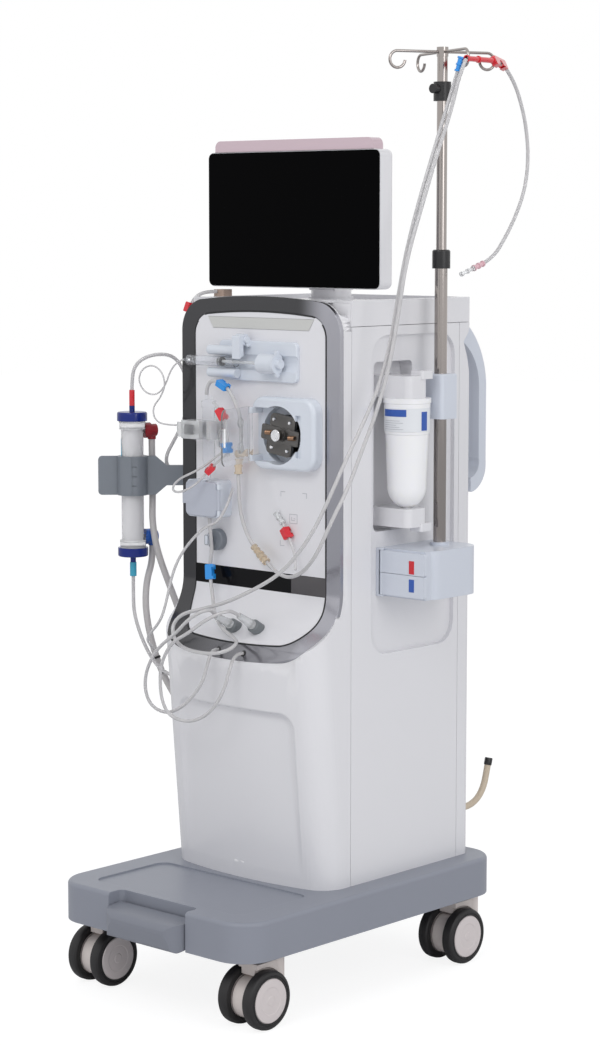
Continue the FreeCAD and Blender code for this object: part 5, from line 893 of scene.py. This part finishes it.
class LineEndsOperator(bpy.types.Operator):
    """Makes the drain hose's tip and the ties on the return hose, and lists each tube's length and what it ends
    in; end does nothing with these.
    """

    bl_idname = "dialysis.line_ends"
    bl_label = "Line ends"

    def execute(self, context):
        self.tip()
        self.end("venous_line", 1.702, "connector", "venous_connector_blue")
        self.end("arterial_line", 1.219, "connector", "access_connector_red")
        self.end("access_line", 0.398, "connector", "access_sleeve_pink", "access_nose")
        self.end("dialyser_top_line", 0.73, "object")
        self.end("dialyser_bottom_line", 0.229, "object")
        self.end("chamber_arch_line", 0.185, "object")
        self.end("heparin_line", 0.364, "object")
        self.end("rinse_line_left", 0.5, "connector", "plug_cap_left", "plug_nose_left")
        self.end("rinse_line_right", 0.531, "connector", "plug_cap_right", "plug_nose_right")
        self.end("detector_line", 0.432, "bare")
        self.end("sample_line", 0.27, "object")
        self.end("dialysate_hose_supply", 0.408, "object", stiffness="stiff")
        self.end("dialysate_hose_return", 0.322, "object", stiffness="stiff")
        self.end("drain_hose", 0.136, "connector", "drain_tip", stiffness="stiff")
        return {"FINISHED"}

    def tip(self):
        """Dark collar and stub at the end of the drain hose."""
        _, points, diameter = LINES["drain_hose"]
        axis = (points[-1] - points[-4]).normalized()
        r = diameter / 2
        profile = [
            (0, -0.006), (r + 0.0008, -0.006), (r + 0.0012, -0.004), (r + 0.0012, 0.006),
            (r + 0.0004, 0.0075), (r - 0.0012, 0.0075), (r - 0.0014, 0.0025), (0, 0.0025),
        ]
        tip = lathe(profile, points[-1], axis, 32)
        piece("drain_tip", tip, "black_plastic", "machine", "beige_hose", crease=40)
        _, line, size = LINES["dialysate_hose_return"]
        for number, height in enumerate((0.543, 0.512)):
            spot = min(range(2, len(line) - 2), key=lambda index: abs(line[index].z - height))
            along = (line[spot + 1] - line[spot - 1]).normalized()
            r = size / 2
            band = [
                (r, -0.002), (r + 0.001, -0.002), (r + 0.0015, 0), (r + 0.001, 0.002), (r, 0.002), (r, -0.002),
            ]
            ring = lathe(band, line[spot], along, 24)
            piece(f"hose_tie_{number + 1}", ring, "black_plastic", "machine", "hose", crease=40)

    def end(self, node, length, far_end, *names, stiffness="medium"):
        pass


class TrolleyOperator(bpy.types.Operator):
    """Trolley base, brake pedal and twin-wheel casters."""

    bl_idname = "dialysis.trolley"
    bl_label = "Trolley"

    def execute(self, context):
        dress("trolley_base", "base_slate")
        dress("lock_pedal", "pedal_slate")
        for corner in ("front_left", "front_right", "rear_left", "rear_right"):
            dress("caster_fork_" + corner, "caster_beige")
            self.wheels(corner)
        return {"FINISHED"}

    def wheels(self, corner):
        """Two tyres with their groove, two dished hubs and the axle."""
        node = "caster_wheels_" + corner
        centre = Vector(JOINTS["roll_" + corner]["pos_m"])
        body = BODY_OF[node]
        spacing, width, radius, rim = 0.055, 0.022, 0.05, 0.038
        half = width / 2
        tyres = bmesh.new()
        hubs = bmesh.new()
        for side in (-1, 1):
            origin = centre + Vector((side * spacing / 2, 0, 0))
            axis = (side, 0, 0)
            tyre = [
                (rim, -half), (radius - 0.006, -half), (radius - 0.003, -half + 0.001),
                (radius - 0.0008, -half + 0.0035),
                (radius, -half + 0.007), (radius, half - 0.007), (radius - 0.0008, half - 0.0035),
                (radius - 0.003, half - 0.001), (radius - 0.006, half), (rim + 0.0045, half + 0.0002),
                (rim + 0.0038, half - 0.0009), (rim + 0.0028, half - 0.0009), (rim + 0.0021, half + 0.0002),
                (rim, half), (rim, -half),
            ]
            lathe(tyre, origin, axis, 72, tyres)
            hub = [
                (0, -half + 0.002), (rim - 0.0002, -half + 0.002), (rim - 0.0002, half - 0.0016),
                (rim - 0.0016, half + 0.0006), (rim - 0.005, half + 0.001), (0.0235, half + 0.001),
                (0.022, half + 0.0003), (0.0085, half + 0.0003), (0.0075, half + 0.001), (0, half + 0.001),
            ]
            lathe(hub, origin, axis, 64, hubs)
        axle, end = 0.005, spacing / 2
        lathe([(0, -end), (axle, -end), (axle, end), (0, end)], centre, (1, 0, 0), 24, hubs)
        piece("tyres_" + corner, tyres, "tyre_black", body, "wheel", (node,), crease=24)
        piece("hubs_" + corner, hubs, "hub_grey", body, "wheel", (node,), crease=24)


def bow(x, z):
    """How far forward the bowed front stands at a width and a height."""
    return -0.1007 - 0.0863 * (z - 0.19) + 0.74 - math.sqrt(0.74 ** 2 - min(abs(x), 0.18) ** 2)


def pressed(x, z):
    """Depth of the pressed panel: deepest under its upper edge, gone at the foot."""
    across, down, corner = 0.138 - abs(x), 0.496 - z, 0.03
    if across < corner and down < corner:
        inward = corner - math.hypot(corner - across, corner - down)
    else:
        inward = min(across, down)
    if inward <= 0:
        return 0.0
    fall = min(1.0, max(0.0, (z - 0.215) / 0.265))
    side = max(0.0, down) / (max(0.0, down) + max(0.0, across) + 1e-9)
    wall = 0.016 * (1 - side) + (0.008 + 0.016 * fall) * side
    share = min(1.0, inward / wall)
    return 0.0095 * fall ** 0.8 * share * (2 - share)


class CasingOperator(bpy.types.Operator):
    """Casing panels, front frame, black band and lamp strip."""

    bl_idname = "dialysis.casing"
    bl_label = "Casing"

    def execute(self, context):
        for node in ("side_panel_left", "rear_cover", "top_cover", "cartridge_arm_upper"):
            dress(node, "casing_white")
        self.front()
        dress("side_panel_right", "casing_white")
        dress("front_panel", "panel_white")
        dress("rear_handles", "handle_blue_grey")
        dress("chassis", "chassis_grey")
        dress("inner_modules", "module_dark")
        split("front_frame", "silver", [
            ("front_frame_ring", (0, -0.086, 0.886), "frame_silver"),
            ("port_bush_left", (-0.029, -0.12, 0.588), "grommet_black"),
            ("port_bush_right", (0.031, -0.12, 0.588), "grommet_black"),
        ])
        split("front_inlays", "inlay", [
            ("black_band", (0, -0.049, 0.706), "band_black"),
            ("status_lamp", (0.003, -0.05, 1.149), "lamp_strip"),
        ])
        # A dark bead in the gap round the panel: painted shade
        self.gasket()
        self.shoulders()
        self.marks()
        plate("band_window", (0.0745, -0.0504, 0.6902), (0.1535, -0.0497, 0.7221), 0.0003,
              "window_grey", "machine", "inlay")
        return {"FINISHED"}

    def front(self):
        """The front shell, with the pressed panel over the knees drawn in full: a sloped upper edge,
        rounded corners and side walls that fade towards the foot."""
        bm = bmesh.new()
        bm.from_mesh(NODES["front_shell"].data)
        bmesh.ops.remove_doubles(bm, verts=bm.verts, dist=1e-6)
        half, low, high = 0.1445, 0.204, 0.508

        def inside(face):
            middle = face.calc_center_median() - MIDDLE
            ahead = middle.y < bow(middle.x, middle.z) + 0.0085
            level = low - 1e-5 < middle.z < high + 1e-5
            return ahead and level and face.normal.y < 0.1 and abs(middle.x) < half + 1e-5

        def slice_at(place, normal, wide):
            faces = [face for face in bm.faces if face.normal.y < 0.1 and wide(face)]
            geom = dict.fromkeys(faces)
            for face in faces:
                geom.update(dict.fromkeys((*face.edges, *face.verts)))
            bmesh.ops.bisect_plane(bm, geom=list(geom), dist=1e-7, plane_co=at(*place), plane_no=normal)

        def near(face):
            heights = [vert.co.z for vert in face.verts]
            ahead = (face.calc_center_median() - MIDDLE).y < -0.05
            return ahead and min(heights) < high and max(heights) > low

        for height in (low, high):
            slice_at((0, 0, height), (0, 0, 1), near)
        for side in (-half, half):
            slice_at((side, 0, 0), (1, 0, 0), near)
        columns = [0.001 * step for step in range(104, 144, 2)] + [0.012 * step for step in range(9)]
        for x in sorted({value for column in columns for value in (-column, column)}):
            slice_at((x, 0, 0), (1, 0, 0), inside)
        rows = [0.216 + 0.012 * step for step in range(20)] + [0.458 + 0.002 * step for step in range(24)]
        for z in rows:
            slice_at((0, 0, z), (0, 0, 1), inside)
        moved = dict.fromkeys(vert for face in bm.faces if inside(face) for vert in face.verts)
        for vert in moved:
            spot = vert.co - MIDDLE
            vert.co.y = bow(spot.x, spot.z) + pressed(spot.x, spot.z) + MIDDLE.y
        bmesh.ops.remove_doubles(bm, verts=list(moved), dist=2e-5)
        bmesh.ops.dissolve_degenerate(bm, dist=1e-6, edges=bm.edges)
        piece("front_shell_skin", bm, "casing_white", "machine", "white",
              replaces=("front_shell",), crease=28)

    def gasket(self):
        """Painted shade: a dark bead along the panel's outer edge, in the gap to the frame where shade falls."""
        source = bmesh.new()
        source.from_mesh(NODES["front_panel"].data)
        bmesh.ops.remove_doubles(source, verts=source.verts, dist=1e-6)
        line = bmesh.new()
        made = {}
        for edge in source.edges:
            if len(edge.link_faces) != 2:
                continue
            normals = sorted((face.normal for face in edge.link_faces), key=lambda normal: normal.y)
            if normals[0].y > -0.3 or abs(normals[1].y) > 0.2:
                continue
            middle = (edge.verts[0].co + edge.verts[1].co) / 2 - MIDDLE
            outside = abs(middle.x) > 0.146 or middle.z > 1.161 or middle.z < 0.655
            if not outside or normals[1].dot(middle - Vector((0, 0, 0.88))) < 0:
                continue
            for vert in edge.verts:
                if vert not in made:
                    made[vert] = line.verts.new(vert.co)
            line.edges.new([made[vert] for vert in edge.verts])
        mesh = as_mesh(line, "gasket_line")
        source.free()
        tree, given, out = new_geometry("gasket", ("Radius", "Float", 0.0013))
        to_curve = add(tree, "GeometryNodeMeshToCurve", Mesh=given.outputs["Geometry"])
        ring = add(tree, "GeometryNodeCurvePrimitiveCircle", Resolution=8, Radius=given.outputs["Radius"])
        bead = add(tree, "GeometryNodeCurveToMesh", Curve=to_curve.outputs[0], Profile_Curve=ring.outputs[0],
                   Fill_Caps=True)
        finish_tree(tree, out, bead.outputs[0], "gasket_dark")
        piece("panel_gasket", grown(tree, mesh), "gasket_dark", "machine", "inlay", crease=70)

    def shoulders(self):
        """White plates that close the body behind the frame's rounded upper corners."""
        for side, name in ((-1, "left"), (1, "right")):
            inner, outer = sorted((side * 0.112, side * 0.1817))
            plate("shoulder_plate_" + name, (inner, -0.0216, 1.118), (outer, -0.0196, 1.1857), 0.0006,
                  "casing_white", "machine", "white")

    def marks(self):
        """Faint printed corner marks and a symbol on the panel."""
        bm = bmesh.new()
        front, back = -0.0502, -0.0499
        bars = [
            ((0.0502, 0.8629), (0.0602, 0.8638)), ((0.0502, 0.8550), (0.0511, 0.8638)),
            ((0.1002, 0.8629), (0.1102, 0.8638)), ((0.1093, 0.8550), (0.1102, 0.8638)),
            ((0.0484, 0.7700), (0.0493, 0.7790)), ((0.0484, 0.7700), (0.0584, 0.7709)),
            ((0.0705, 0.8254), (0.0885, 0.8263)), ((0.0705, 0.8100), (0.0885, 0.8109)),
            ((0.0705, 0.8100), (0.0714, 0.8263)), ((0.0876, 0.8100), (0.0885, 0.8263)),
            ((0.0750, 0.8150), (0.0759, 0.8215)), ((0.0750, 0.8150), (0.0835, 0.8159)),
            ((0.0800, 0.8180), (0.0840, 0.8189)),
        ]
        for low, high in bars:
            rounded_block(at(low[0], front, low[1]), at(high[0], back, high[1]), 0.0001, bm, 1)
        piece("panel_marks", bm, "icon_grey", "machine", "inlay")


class MonitorOperator(bpy.types.Operator):
    """Swivel neck, monitor with its glass, and the alarm lamp."""

    bl_idname = "dialysis.monitor"
    bl_label = "Monitor"

    def execute(self, context):
        dress("monitor_neck", "casing_white")
        dress("monitor_glass", "screen_black")
        split("monitor_housing", "white", [
            ("monitor_shell", (0, 0.067, 1.325), "casing_white"),
            ("alarm_lamp", (0, 0.046, 1.452), "alarm_lamp"),
        ])
        return {"FINISHED"}


class SyringePumpOperator(bpy.types.Operator):
    """Syringe dock, lever, carriage and the syringe."""

    bl_idname = "dialysis.syringe_pump"
    bl_label = "Syringe pump"

    def execute(self, context):
        dress("syringe_dock", "pump_grey")
        dress("syringe_lever", "pump_grey")
        dress("syringe_barrel", "case_clear")
        split("syringe_carriage", "pump_grey", [
            ("syringe_slide", (0.046, -0.073, 1.082), "pump_grey"),
            ("syringe_plunger", (-0.026, -0.07, 1.082), "nozzle_clear"),
        ])
        ribs = [
            (0, 0), (0.0066, 0), (0.00797, 0.0012), (0.00797, 0.0032), (0.0074, 0.0036), (0.0074, 0.0046),
            (0.00797, 0.005), (0.00797, 0.0082), (0, 0.0082),
        ]
        stopper = lathe(ribs, at(-0.0751, -0.07, 1.082), (1, 0, 0), 40)
        piece("syringe_stopper", stopper, "black_plastic", "plunger", "pump_grey", crease=35)
        bm = bmesh.new()
        for step in range(22):
            x, tall = -0.144 + 0.003 * step, 0.0042 if step % 5 == 0 else 0.0026
            rounded_block(at(x, -0.0794, 1.0815 - tall), at(x + 0.0007, -0.0788, 1.0815), 0.0001, bm, 1)
        piece("syringe_scale", bm, "icon_grey", "machine", "pump_grey")
        return {"FINISHED"}


class BloodPumpOperator(bpy.types.Operator):
    """Roller pump: housing, rotor with its rollers, and clear door."""

    bl_idname = "dialysis.blood_pump"
    bl_label = "Blood pump"

    def execute(self, context):
        dress("blood_pump_housing", "pump_grey")
        dress("pump_door", "door_clear")
        split("pump_rotor", "rotor", [
            ("rotor_body", (0.061, -0.054, 0.961), "rotor_metal"),
            ("roller_left", (0.025, -0.052, 0.966), "chrome"),
            ("roller_right", (0.097, -0.052, 0.956), "chrome"),
        ])
        bm = bmesh.new()
        rim = [
            (0.0078, 0), (0.009, 0), (0.0094, 0.0006), (0.0094, 0.002), (0.0088, 0.0026), (0.0078, 0.0026),
            (0.0078, 0),
        ]
        dome = [(0, 0.0004), (0.005, 0.0004), (0.0072, 0.0012), (0.0072, 0.0018), (0.005, 0.0024), (0, 0.003)]
        for height in (0.939, 0.983):
            for start, profile in ((0.0, rim), (0.0042, dome)):
                spot = at(0.0123 + start * 0.951, -0.1135 + start * 0.309, height)
                lathe(profile, spot, (0.951, 0.309, 0), 36, bm)
        piece("door_bosses", bm, "nozzle_clear", "door", "clear", crease=40)
        cap = [
            (0, 0), (0.0098, 0), (0.0102, 0.0005), (0.0102, 0.0018), (0.0094, 0.0026), (0.0078, 0.0026),
            (0.0073, 0.002), (0.0052, 0.002), (0.0047, 0.0026), (0, 0.0026),
        ]
        knob = lathe(cap, at(ROTOR_X, -0.0738, ROTOR_Z), (0, -1, 0), 48)
        piece("rotor_cap", knob, "chrome", "rotor", "rotor", crease=35)
        places = [(0.043, 0.985), (0.079, 0.985), (0.043, 0.937), (0.079, 0.937)]
        heads = [
            at(x + (z - ROTOR_Z) * ROTOR_LEAN, -0.0622, z - (x - ROTOR_X) * ROTOR_LEAN) for x, z in places
        ]
        screws("rotor_screws", heads, (0, -1, 0), 0.0035, "rotor", "rotor", "chrome")
        springs = bmesh.new()
        turn = [(0.0034, -0.0006), (0.0042, 0), (0.0034, 0.0006), (0.0026, 0), (0.0034, -0.0006)]
        for x in (0.0345, 0.0875):
            height = ROTOR_Z - (x - ROTOR_X) * ROTOR_LEAN
            for step in range(9):
                lathe(turn, at(x - 0.004 + step * 0.0015, -0.0655, height), (1, 0, 0), 18, springs)
        piece("rotor_springs", springs, "spring_copper", "rotor", "rotor", crease=60)
        return {"FINISHED"}


class VenousSetOperator(bpy.types.Operator):
    """Drip chamber, its clip, the detector box and the venous clamp."""

    bl_idname = "dialysis.venous_set"
    bl_label = "Venous set"

    def execute(self, context):
        dress("line_clip", "nozzle_clear")
        dress("venous_chamber", "case_clear")
        dress("detector_lid", "lid_grey")
        plate("venous_clamp_head", (-0.1094, -0.0753, 0.7597), (-0.0996, -0.0620, 0.7783), 0.0026,
              "pump_grey", "machine", "pump_grey")
        split("detector_box", "pump_grey", [
            ("detector_body", (-0.101, -0.07, 0.843), "pump_grey"),
            ("venous_clamp", (-0.097, -0.062, 0.769), "arm_grey"),
        ])
        split("line_fittings", "fitting", [
            ("plug_cap_left", (-0.020, -0.093, 0.629), "plug_grey"),
            ("plug_nose_left", (-0.021, -0.118, 0.640), "nozzle_clear"),
            ("plug_cap_right", (0.032, -0.092, 0.632), "plug_grey"),
            ("plug_nose_right", (0.031, -0.117, 0.645), "nozzle_clear"),
            ("venous_line_clamp", (-0.100, -0.069, 0.713), "clamp_blue"),
            ("arch_clamp", (-0.055, -0.082, 1.042), "clamp_blue"),
            ("chamber_branch", (-0.060, -0.083, 0.966), "tube_clear"),
            ("branch_clamp_red", (-0.056, -0.085, 0.992), "clamp_red"),
            ("branch_clamp_blue", (-0.043, -0.086, 0.935), "clamp_blue"),
            ("sample_clamp", (-0.076, -0.093, 0.896), "clamp_red"),
            ("panel_branch", (0.086, -0.068, 0.773), "tube_clear"),
            ("panel_branch_clamp", (0.072, -0.059, 0.794), "clamp_red"),
            ("panel_branch_connector", (0.052, -0.056, 0.818), "nozzle_clear"),
            ("amber_joint_upper", (0.010, -0.067, 0.760), "amber_clear"),
            ("amber_joint_lower", (0.027, -0.069, 0.748), "amber_clear"),
            ("pump_joint_lower", (-0.027, -0.074, 0.904), "amber_clear"),
            ("pump_joint_upper", (-0.019, -0.073, 0.926), "amber_clear"),
            ("top_fitting", (-0.178, 0.045, 1.196), "fitting_tan"),
            ("top_line_clamp", (-0.200, -0.018, 1.170), "clamp_red"),
        ])
        return {"FINISHED"}


class DialyserOperator(bpy.types.Operator):
    """Dialyser with its fibre bundle, and the holder's arm and jaw."""

    bl_idname = "dialysis.dialyser"
    bl_label = "Dialyser"

    def execute(self, context):
        dress("holder_arm", "arm_grey")
        dress("holder_jaw", "arm_grey")
        split("dialyser", "dialyser", [
            ("dialyser_case", (-0.292, -0.070, 0.854), "dialyser_clear"),
            ("dialyser_cap_top", (-0.292, -0.072, 0.982), "cap_cobalt"),
            ("dialyser_cap_bottom", (-0.292, -0.072, 0.727), "cap_cobalt"),
            ("dialysate_plug_blue", (-0.282, -0.042, 0.757), "plug_blue"),
            ("dialysate_plug_red", (-0.282, -0.042, 0.949), "plug_dark_red"),
            ("blood_connector_red", (-0.292, -0.072, 1.009), "clamp_red"),
            ("blood_connector_teal", (-0.292, -0.072, 0.701), "teal"),
        ])
        self.bundle(context.scene.dialysis_sizes)
        bm = bmesh.new()
        for step in range(6):
            low = 0.906 + 0.005 * step
            curved_label(bm, at(*DIALYSER_AXIS, 0), 0.0201, low, 0.911 + 0.005 * step, -146, -112 - 3.4 * step)
        curved_label(bm, at(*DIALYSER_AXIS, 0), 0.0201, 0.836, 0.906, -146, -112)
        piece("dialyser_label", bm, "label_cyan", "arm", "dialyser")
        rings = bmesh.new()
        lip = [
            (0.0229, -0.0012), (0.0236, -0.001), (0.0239, 0), (0.0236, 0.001), (0.0229, 0.0012), (0.0229, -0.0012),
        ]
        for height in (0.7405, 0.7515, 0.954, 0.9655):
            lathe(lip, at(*DIALYSER_AXIS, height), (0, 0, 1), 56, rings)
        piece("dialyser_lips", rings, "nozzle_clear", "arm", "dialyser", crease=50)
        return {"FINISHED"}

    def bundle(self, sizes):
        """Hollow fibres packed in a round bundle, drawn as thin six-sided rods."""
        tree, given, out = new_geometry(
            "fibre_bundle", ("Count", "Int", sizes.fibre_count), ("Bundle Radius", "Float", 0.0168),
            ("Fibre Radius", "Float", sizes.fibre_radius), ("Length", "Float", 0.2))
        given = given.outputs
        index = add(tree, "GeometryNodeInputIndex").outputs[0]
        share = math_node(tree, "DIVIDE", math_node(tree, "ADD", index, 0.5), given["Count"])
        radius = math_node(tree, "MULTIPLY", math_node(tree, "SQRT", share), given["Bundle Radius"])
        golden_angle = 2.39996
        angle = math_node(tree, "MULTIPLY", index, golden_angle)
        x, y = (
            math_node(tree, "MULTIPLY", radius, math_node(tree, turn, angle)) for turn in ("COSINE", "SINE")
        )
        place = add(tree, "ShaderNodeCombineXYZ", X=x, Y=y)
        points = add(tree, "GeometryNodePoints", Count=given["Count"], Position=place.outputs[0])
        fibre = add(tree, "GeometryNodeMeshCylinder", Vertices=6, Radius=given["Fibre Radius"],
                    Depth=given["Length"])
        scatter = add(tree, "GeometryNodeInstanceOnPoints", Points=points.outputs[0],
                      Instance=fibre.outputs["Mesh"])
        finish_tree(tree, out, scatter.outputs[0], "fibre_white")
        mesh = grown(tree)
        mesh.transform(Matrix.Translation(at(*DIALYSER_AXIS, 0) + Vector((0, 0, 0.854))))
        piece("dialyser_fibres", mesh, "fibre_white", "arm", "dialyser", ("dialyser",), crease=50)


def finish_tree(tree, out, made, material):
    """Ends a tree in real geometry with its finish."""
    solid = add(tree, "GeometryNodeRealizeInstances", Geometry=made)
    paint = add(tree, "GeometryNodeSetMaterial", Geometry=solid.outputs[0], Material=MATERIALS[material])
    tree.links.new(paint.outputs[0], out.inputs[0])


def screws(name, places, axis, radius, body, slot, material):
    """Domed screw heads with a socket, one at each place, facing along axis."""
    tree, given, out = new_geometry(
        "screw_heads", ("Radius", "Float", radius), ("Height", "Float", radius * 0.55))
    wide, tall = given.outputs["Radius"], given.outputs["Height"]
    points = add(tree, "GeometryNodeMeshToPoints", Mesh=given.outputs["Geometry"])
    head = add(tree, "GeometryNodeMeshCone", Vertices=20, Radius_Bottom=wide,
               Radius_Top=math_node(tree, "MULTIPLY", wide, 0.72), Depth=tall)
    socket = add(tree, "GeometryNodeMeshCylinder", Vertices=6, Radius=math_node(tree, "MULTIPLY", wide, 0.42),
                 Depth=math_node(tree, "MULTIPLY", tall, 2.1))
    both = add(tree, "GeometryNodeJoinGeometry")
    for part in (head, socket):
        tree.links.new(part.outputs["Mesh"], both.inputs[0])
    turn = add(tree, "FunctionNodeAlignEulerToVector", axis="Z", Vector=axis)
    heads = add(tree, "GeometryNodeInstanceOnPoints", Points=points.outputs[0], Instance=both.outputs[0],
                Rotation=turn.outputs[0])
    finish_tree(tree, out, heads.outputs[0], material)
    seed = bpy.data.meshes.new("places")
    seed.from_pydata([tuple(place) for place in places], [], [])
    piece(name, grown(tree, seed), material, body, slot, crease=40)


def curved_label(bm, centre, radius, low, high, start, end):
    """A thin printed patch round an upright tube between two heights and two angles."""
    steps = max(2, int((end - start) / 4))
    rows = []
    for thick in (0, 0.0003):
        for height in (low, high):
            row = []
            for step in range(steps + 1):
                angle = math.radians(start + (end - start) * step / steps)
                reach = radius + thick
                spoke = Vector((reach * math.cos(angle), reach * math.sin(angle), height))
                row.append(bm.verts.new(centre + spoke))
            rows.append(row)
    inner_low, inner_high, outer_low, outer_high = rows
    loop = (outer_low, outer_high, inner_high, inner_low, outer_low)
    for a, b in zip(loop, loop[1:]):
        for step in range(steps):
            bm.faces.new((a[step], a[step + 1], b[step + 1], b[step]))
    for end_index in (0, steps):
        bm.faces.new([row[end_index] for row in (inner_low, outer_low, outer_high, inner_high)])
    bmesh.ops.recalc_face_normals(bm, faces=bm.faces)


def grown(tree, mesh=None):
    """The plain mesh that a Geometry Nodes tree makes."""
    mesh = mesh or bpy.data.meshes.new("seed")
    obj = bpy.data.objects.new("seed", mesh)
    bpy.context.scene.collection.objects.link(obj)
    obj.modifiers.new("grow", "NODES").node_group = tree
    bpy.context.view_layer.update()
    made = bpy.data.meshes.new_from_object(obj.evaluated_get(bpy.context.evaluated_depsgraph_get()))
    bpy.data.objects.remove(obj)
    bpy.data.meshes.remove(mesh)
    return made


class CartridgeOperator(bpy.types.Operator):
    """Bicarbonate cartridge between its two arms."""

    bl_idname = "dialysis.cartridge"
    bl_label = "Cartridge"

    def execute(self, context):
        dress("cartridge", "cartridge_white")
        bm = bmesh.new()
        curved_label(bm, at(*CARTRIDGE_AXIS, 0), 0.0391, 0.968, 1.008, -150, 30)
        piece("cartridge_label", bm, "label_white", "machine", "cartridge")
        bm = bmesh.new()
        curved_label(bm, at(*CARTRIDGE_AXIS, 0), 0.0394, 0.994, 1.006, -122, -52)
        curved_label(bm, at(*CARTRIDGE_AXIS, 0), 0.0394, 0.970, 1.002, -12, 8)
        piece("cartridge_label_blue", bm, "label_blue", "machine", "cartridge")
        bm = bmesh.new()
        for row in range(5):
            low, high = 0.9722 + row * 0.0036, 0.9728 + row * 0.0036
            curved_label(bm, at(*CARTRIDGE_AXIS, 0), 0.0394, low, high, -118, -60 - 9 * (row % 3))
        piece("cartridge_label_lines", bm, "icon_grey", "machine", "cartridge")
        return {"FINISHED"}


class PoleOperator(bpy.types.Operator):
    """Infusion pole, its collar, knob, hooks and what hangs there, and the box at its foot."""

    bl_idname = "dialysis.pole"
    bl_label = "Pole"

    def execute(self, context):
        split("pole_lower", "steel", [
            ("pole_tube_lower", (0.229, 0.160, 1.008), "pole_steel"),
            ("pole_collar", (0.229, 0.160, 1.258), "black_plastic"),
        ])
        split("pole_upper", "steel", [
            ("pole_tube_upper", (0.229, 0.160, 1.287), "pole_steel"),
            ("pole_knob", (0.229, 0.154, 1.540), "black_plastic"),
            ("access_connector_red", (0.307, 0.154, 1.590), "clamp_red"),
            ("access_clamp_red", (0.283, 0.239, 1.588), "clamp_red"),
            ("venous_connector_blue", (0.306, 0.110, 1.580), "clamp_blue"),
            ("access_sleeve_pink", (0.262, 0.220, 1.246), "pink_sleeve"),
            ("access_nose", (0.260, 0.193, 1.237), "nozzle_clear"),
        ])
        split("pole_mounts", "blue_grey", [
            ("pole_bracket", (0.214, 0.160, 1.024), "handle_blue_grey"),
            ("rinse_box", (0.232, 0.128, 0.729), "handle_blue_grey"),
        ])
        dress("flap_upper", "handle_blue_grey")
        dress("flap_lower", "handle_blue_grey")
        plate("flap_mark_red", (0.2515, 0.0510, 0.7290), (0.2628, 0.0519, 0.7515), 0.0004,
              "mark_red", "upper_flap", "blue_grey")
        plate("flap_mark_blue", (0.2515, 0.0510, 0.6982), (0.2628, 0.0519, 0.7200), 0.0004,
              "label_blue", "lower_flap", "blue_grey")
        return {"FINISHED"}


class DialysisPanel(bpy.types.Panel):
    """Lists the settings and the steps in their order."""

    bl_idname = "DIALYSIS_PT_panel"
    bl_label = "Dialysis machine"
    bl_space_type = "VIEW_3D"
    bl_region_type = "UI"
    bl_category = "Dialysis"

    def draw(self, context):
        layout = self.layout
        for group_name in ("dialysis_colours", "dialysis_sizes", "dialysis_stage"):
            settings = getattr(context.scene, group_name)
            box = layout.box()
            for key in settings.__annotations__:
                box.prop(settings, key)
        for step in STEPS:
            layout.operator(step.bl_idname)


STEPS = (
    StageOperator,
    LinesOperator,
    TrolleyOperator,
    CasingOperator,
    MonitorOperator,
    SyringePumpOperator,
    BloodPumpOperator,
    VenousSetOperator,
    DialyserOperator,
    CartridgeOperator,
    PoleOperator,
    LineEndsOperator,
)
SETTINGS = (
    ("dialysis_colours", DialysisColours),
    ("dialysis_sizes", DialysisSizes),
    ("dialysis_stage", DialysisStage),
)


def register():
    for name, settings in SETTINGS:
        bpy.utils.register_class(settings)
        setattr(bpy.types.Scene, name, bpy.props.PointerProperty(type=settings))
    for step in (*STEPS, DialysisPanel):
        bpy.utils.register_class(step)


def unregister():
    for step in (DialysisPanel, *reversed(STEPS)):
        bpy.utils.unregister_class(step)
    for name, settings in SETTINGS:
        delattr(bpy.types.Scene, name)
        bpy.utils.unregister_class(settings)


def main():
    register()
    make_materials()
    for step in STEPS:
        family, verb = step.bl_idname.split(".")
        getattr(getattr(bpy.ops, family), verb)()
    bpy.context.view_layer.update()


if __name__ == "__main__":
    main()
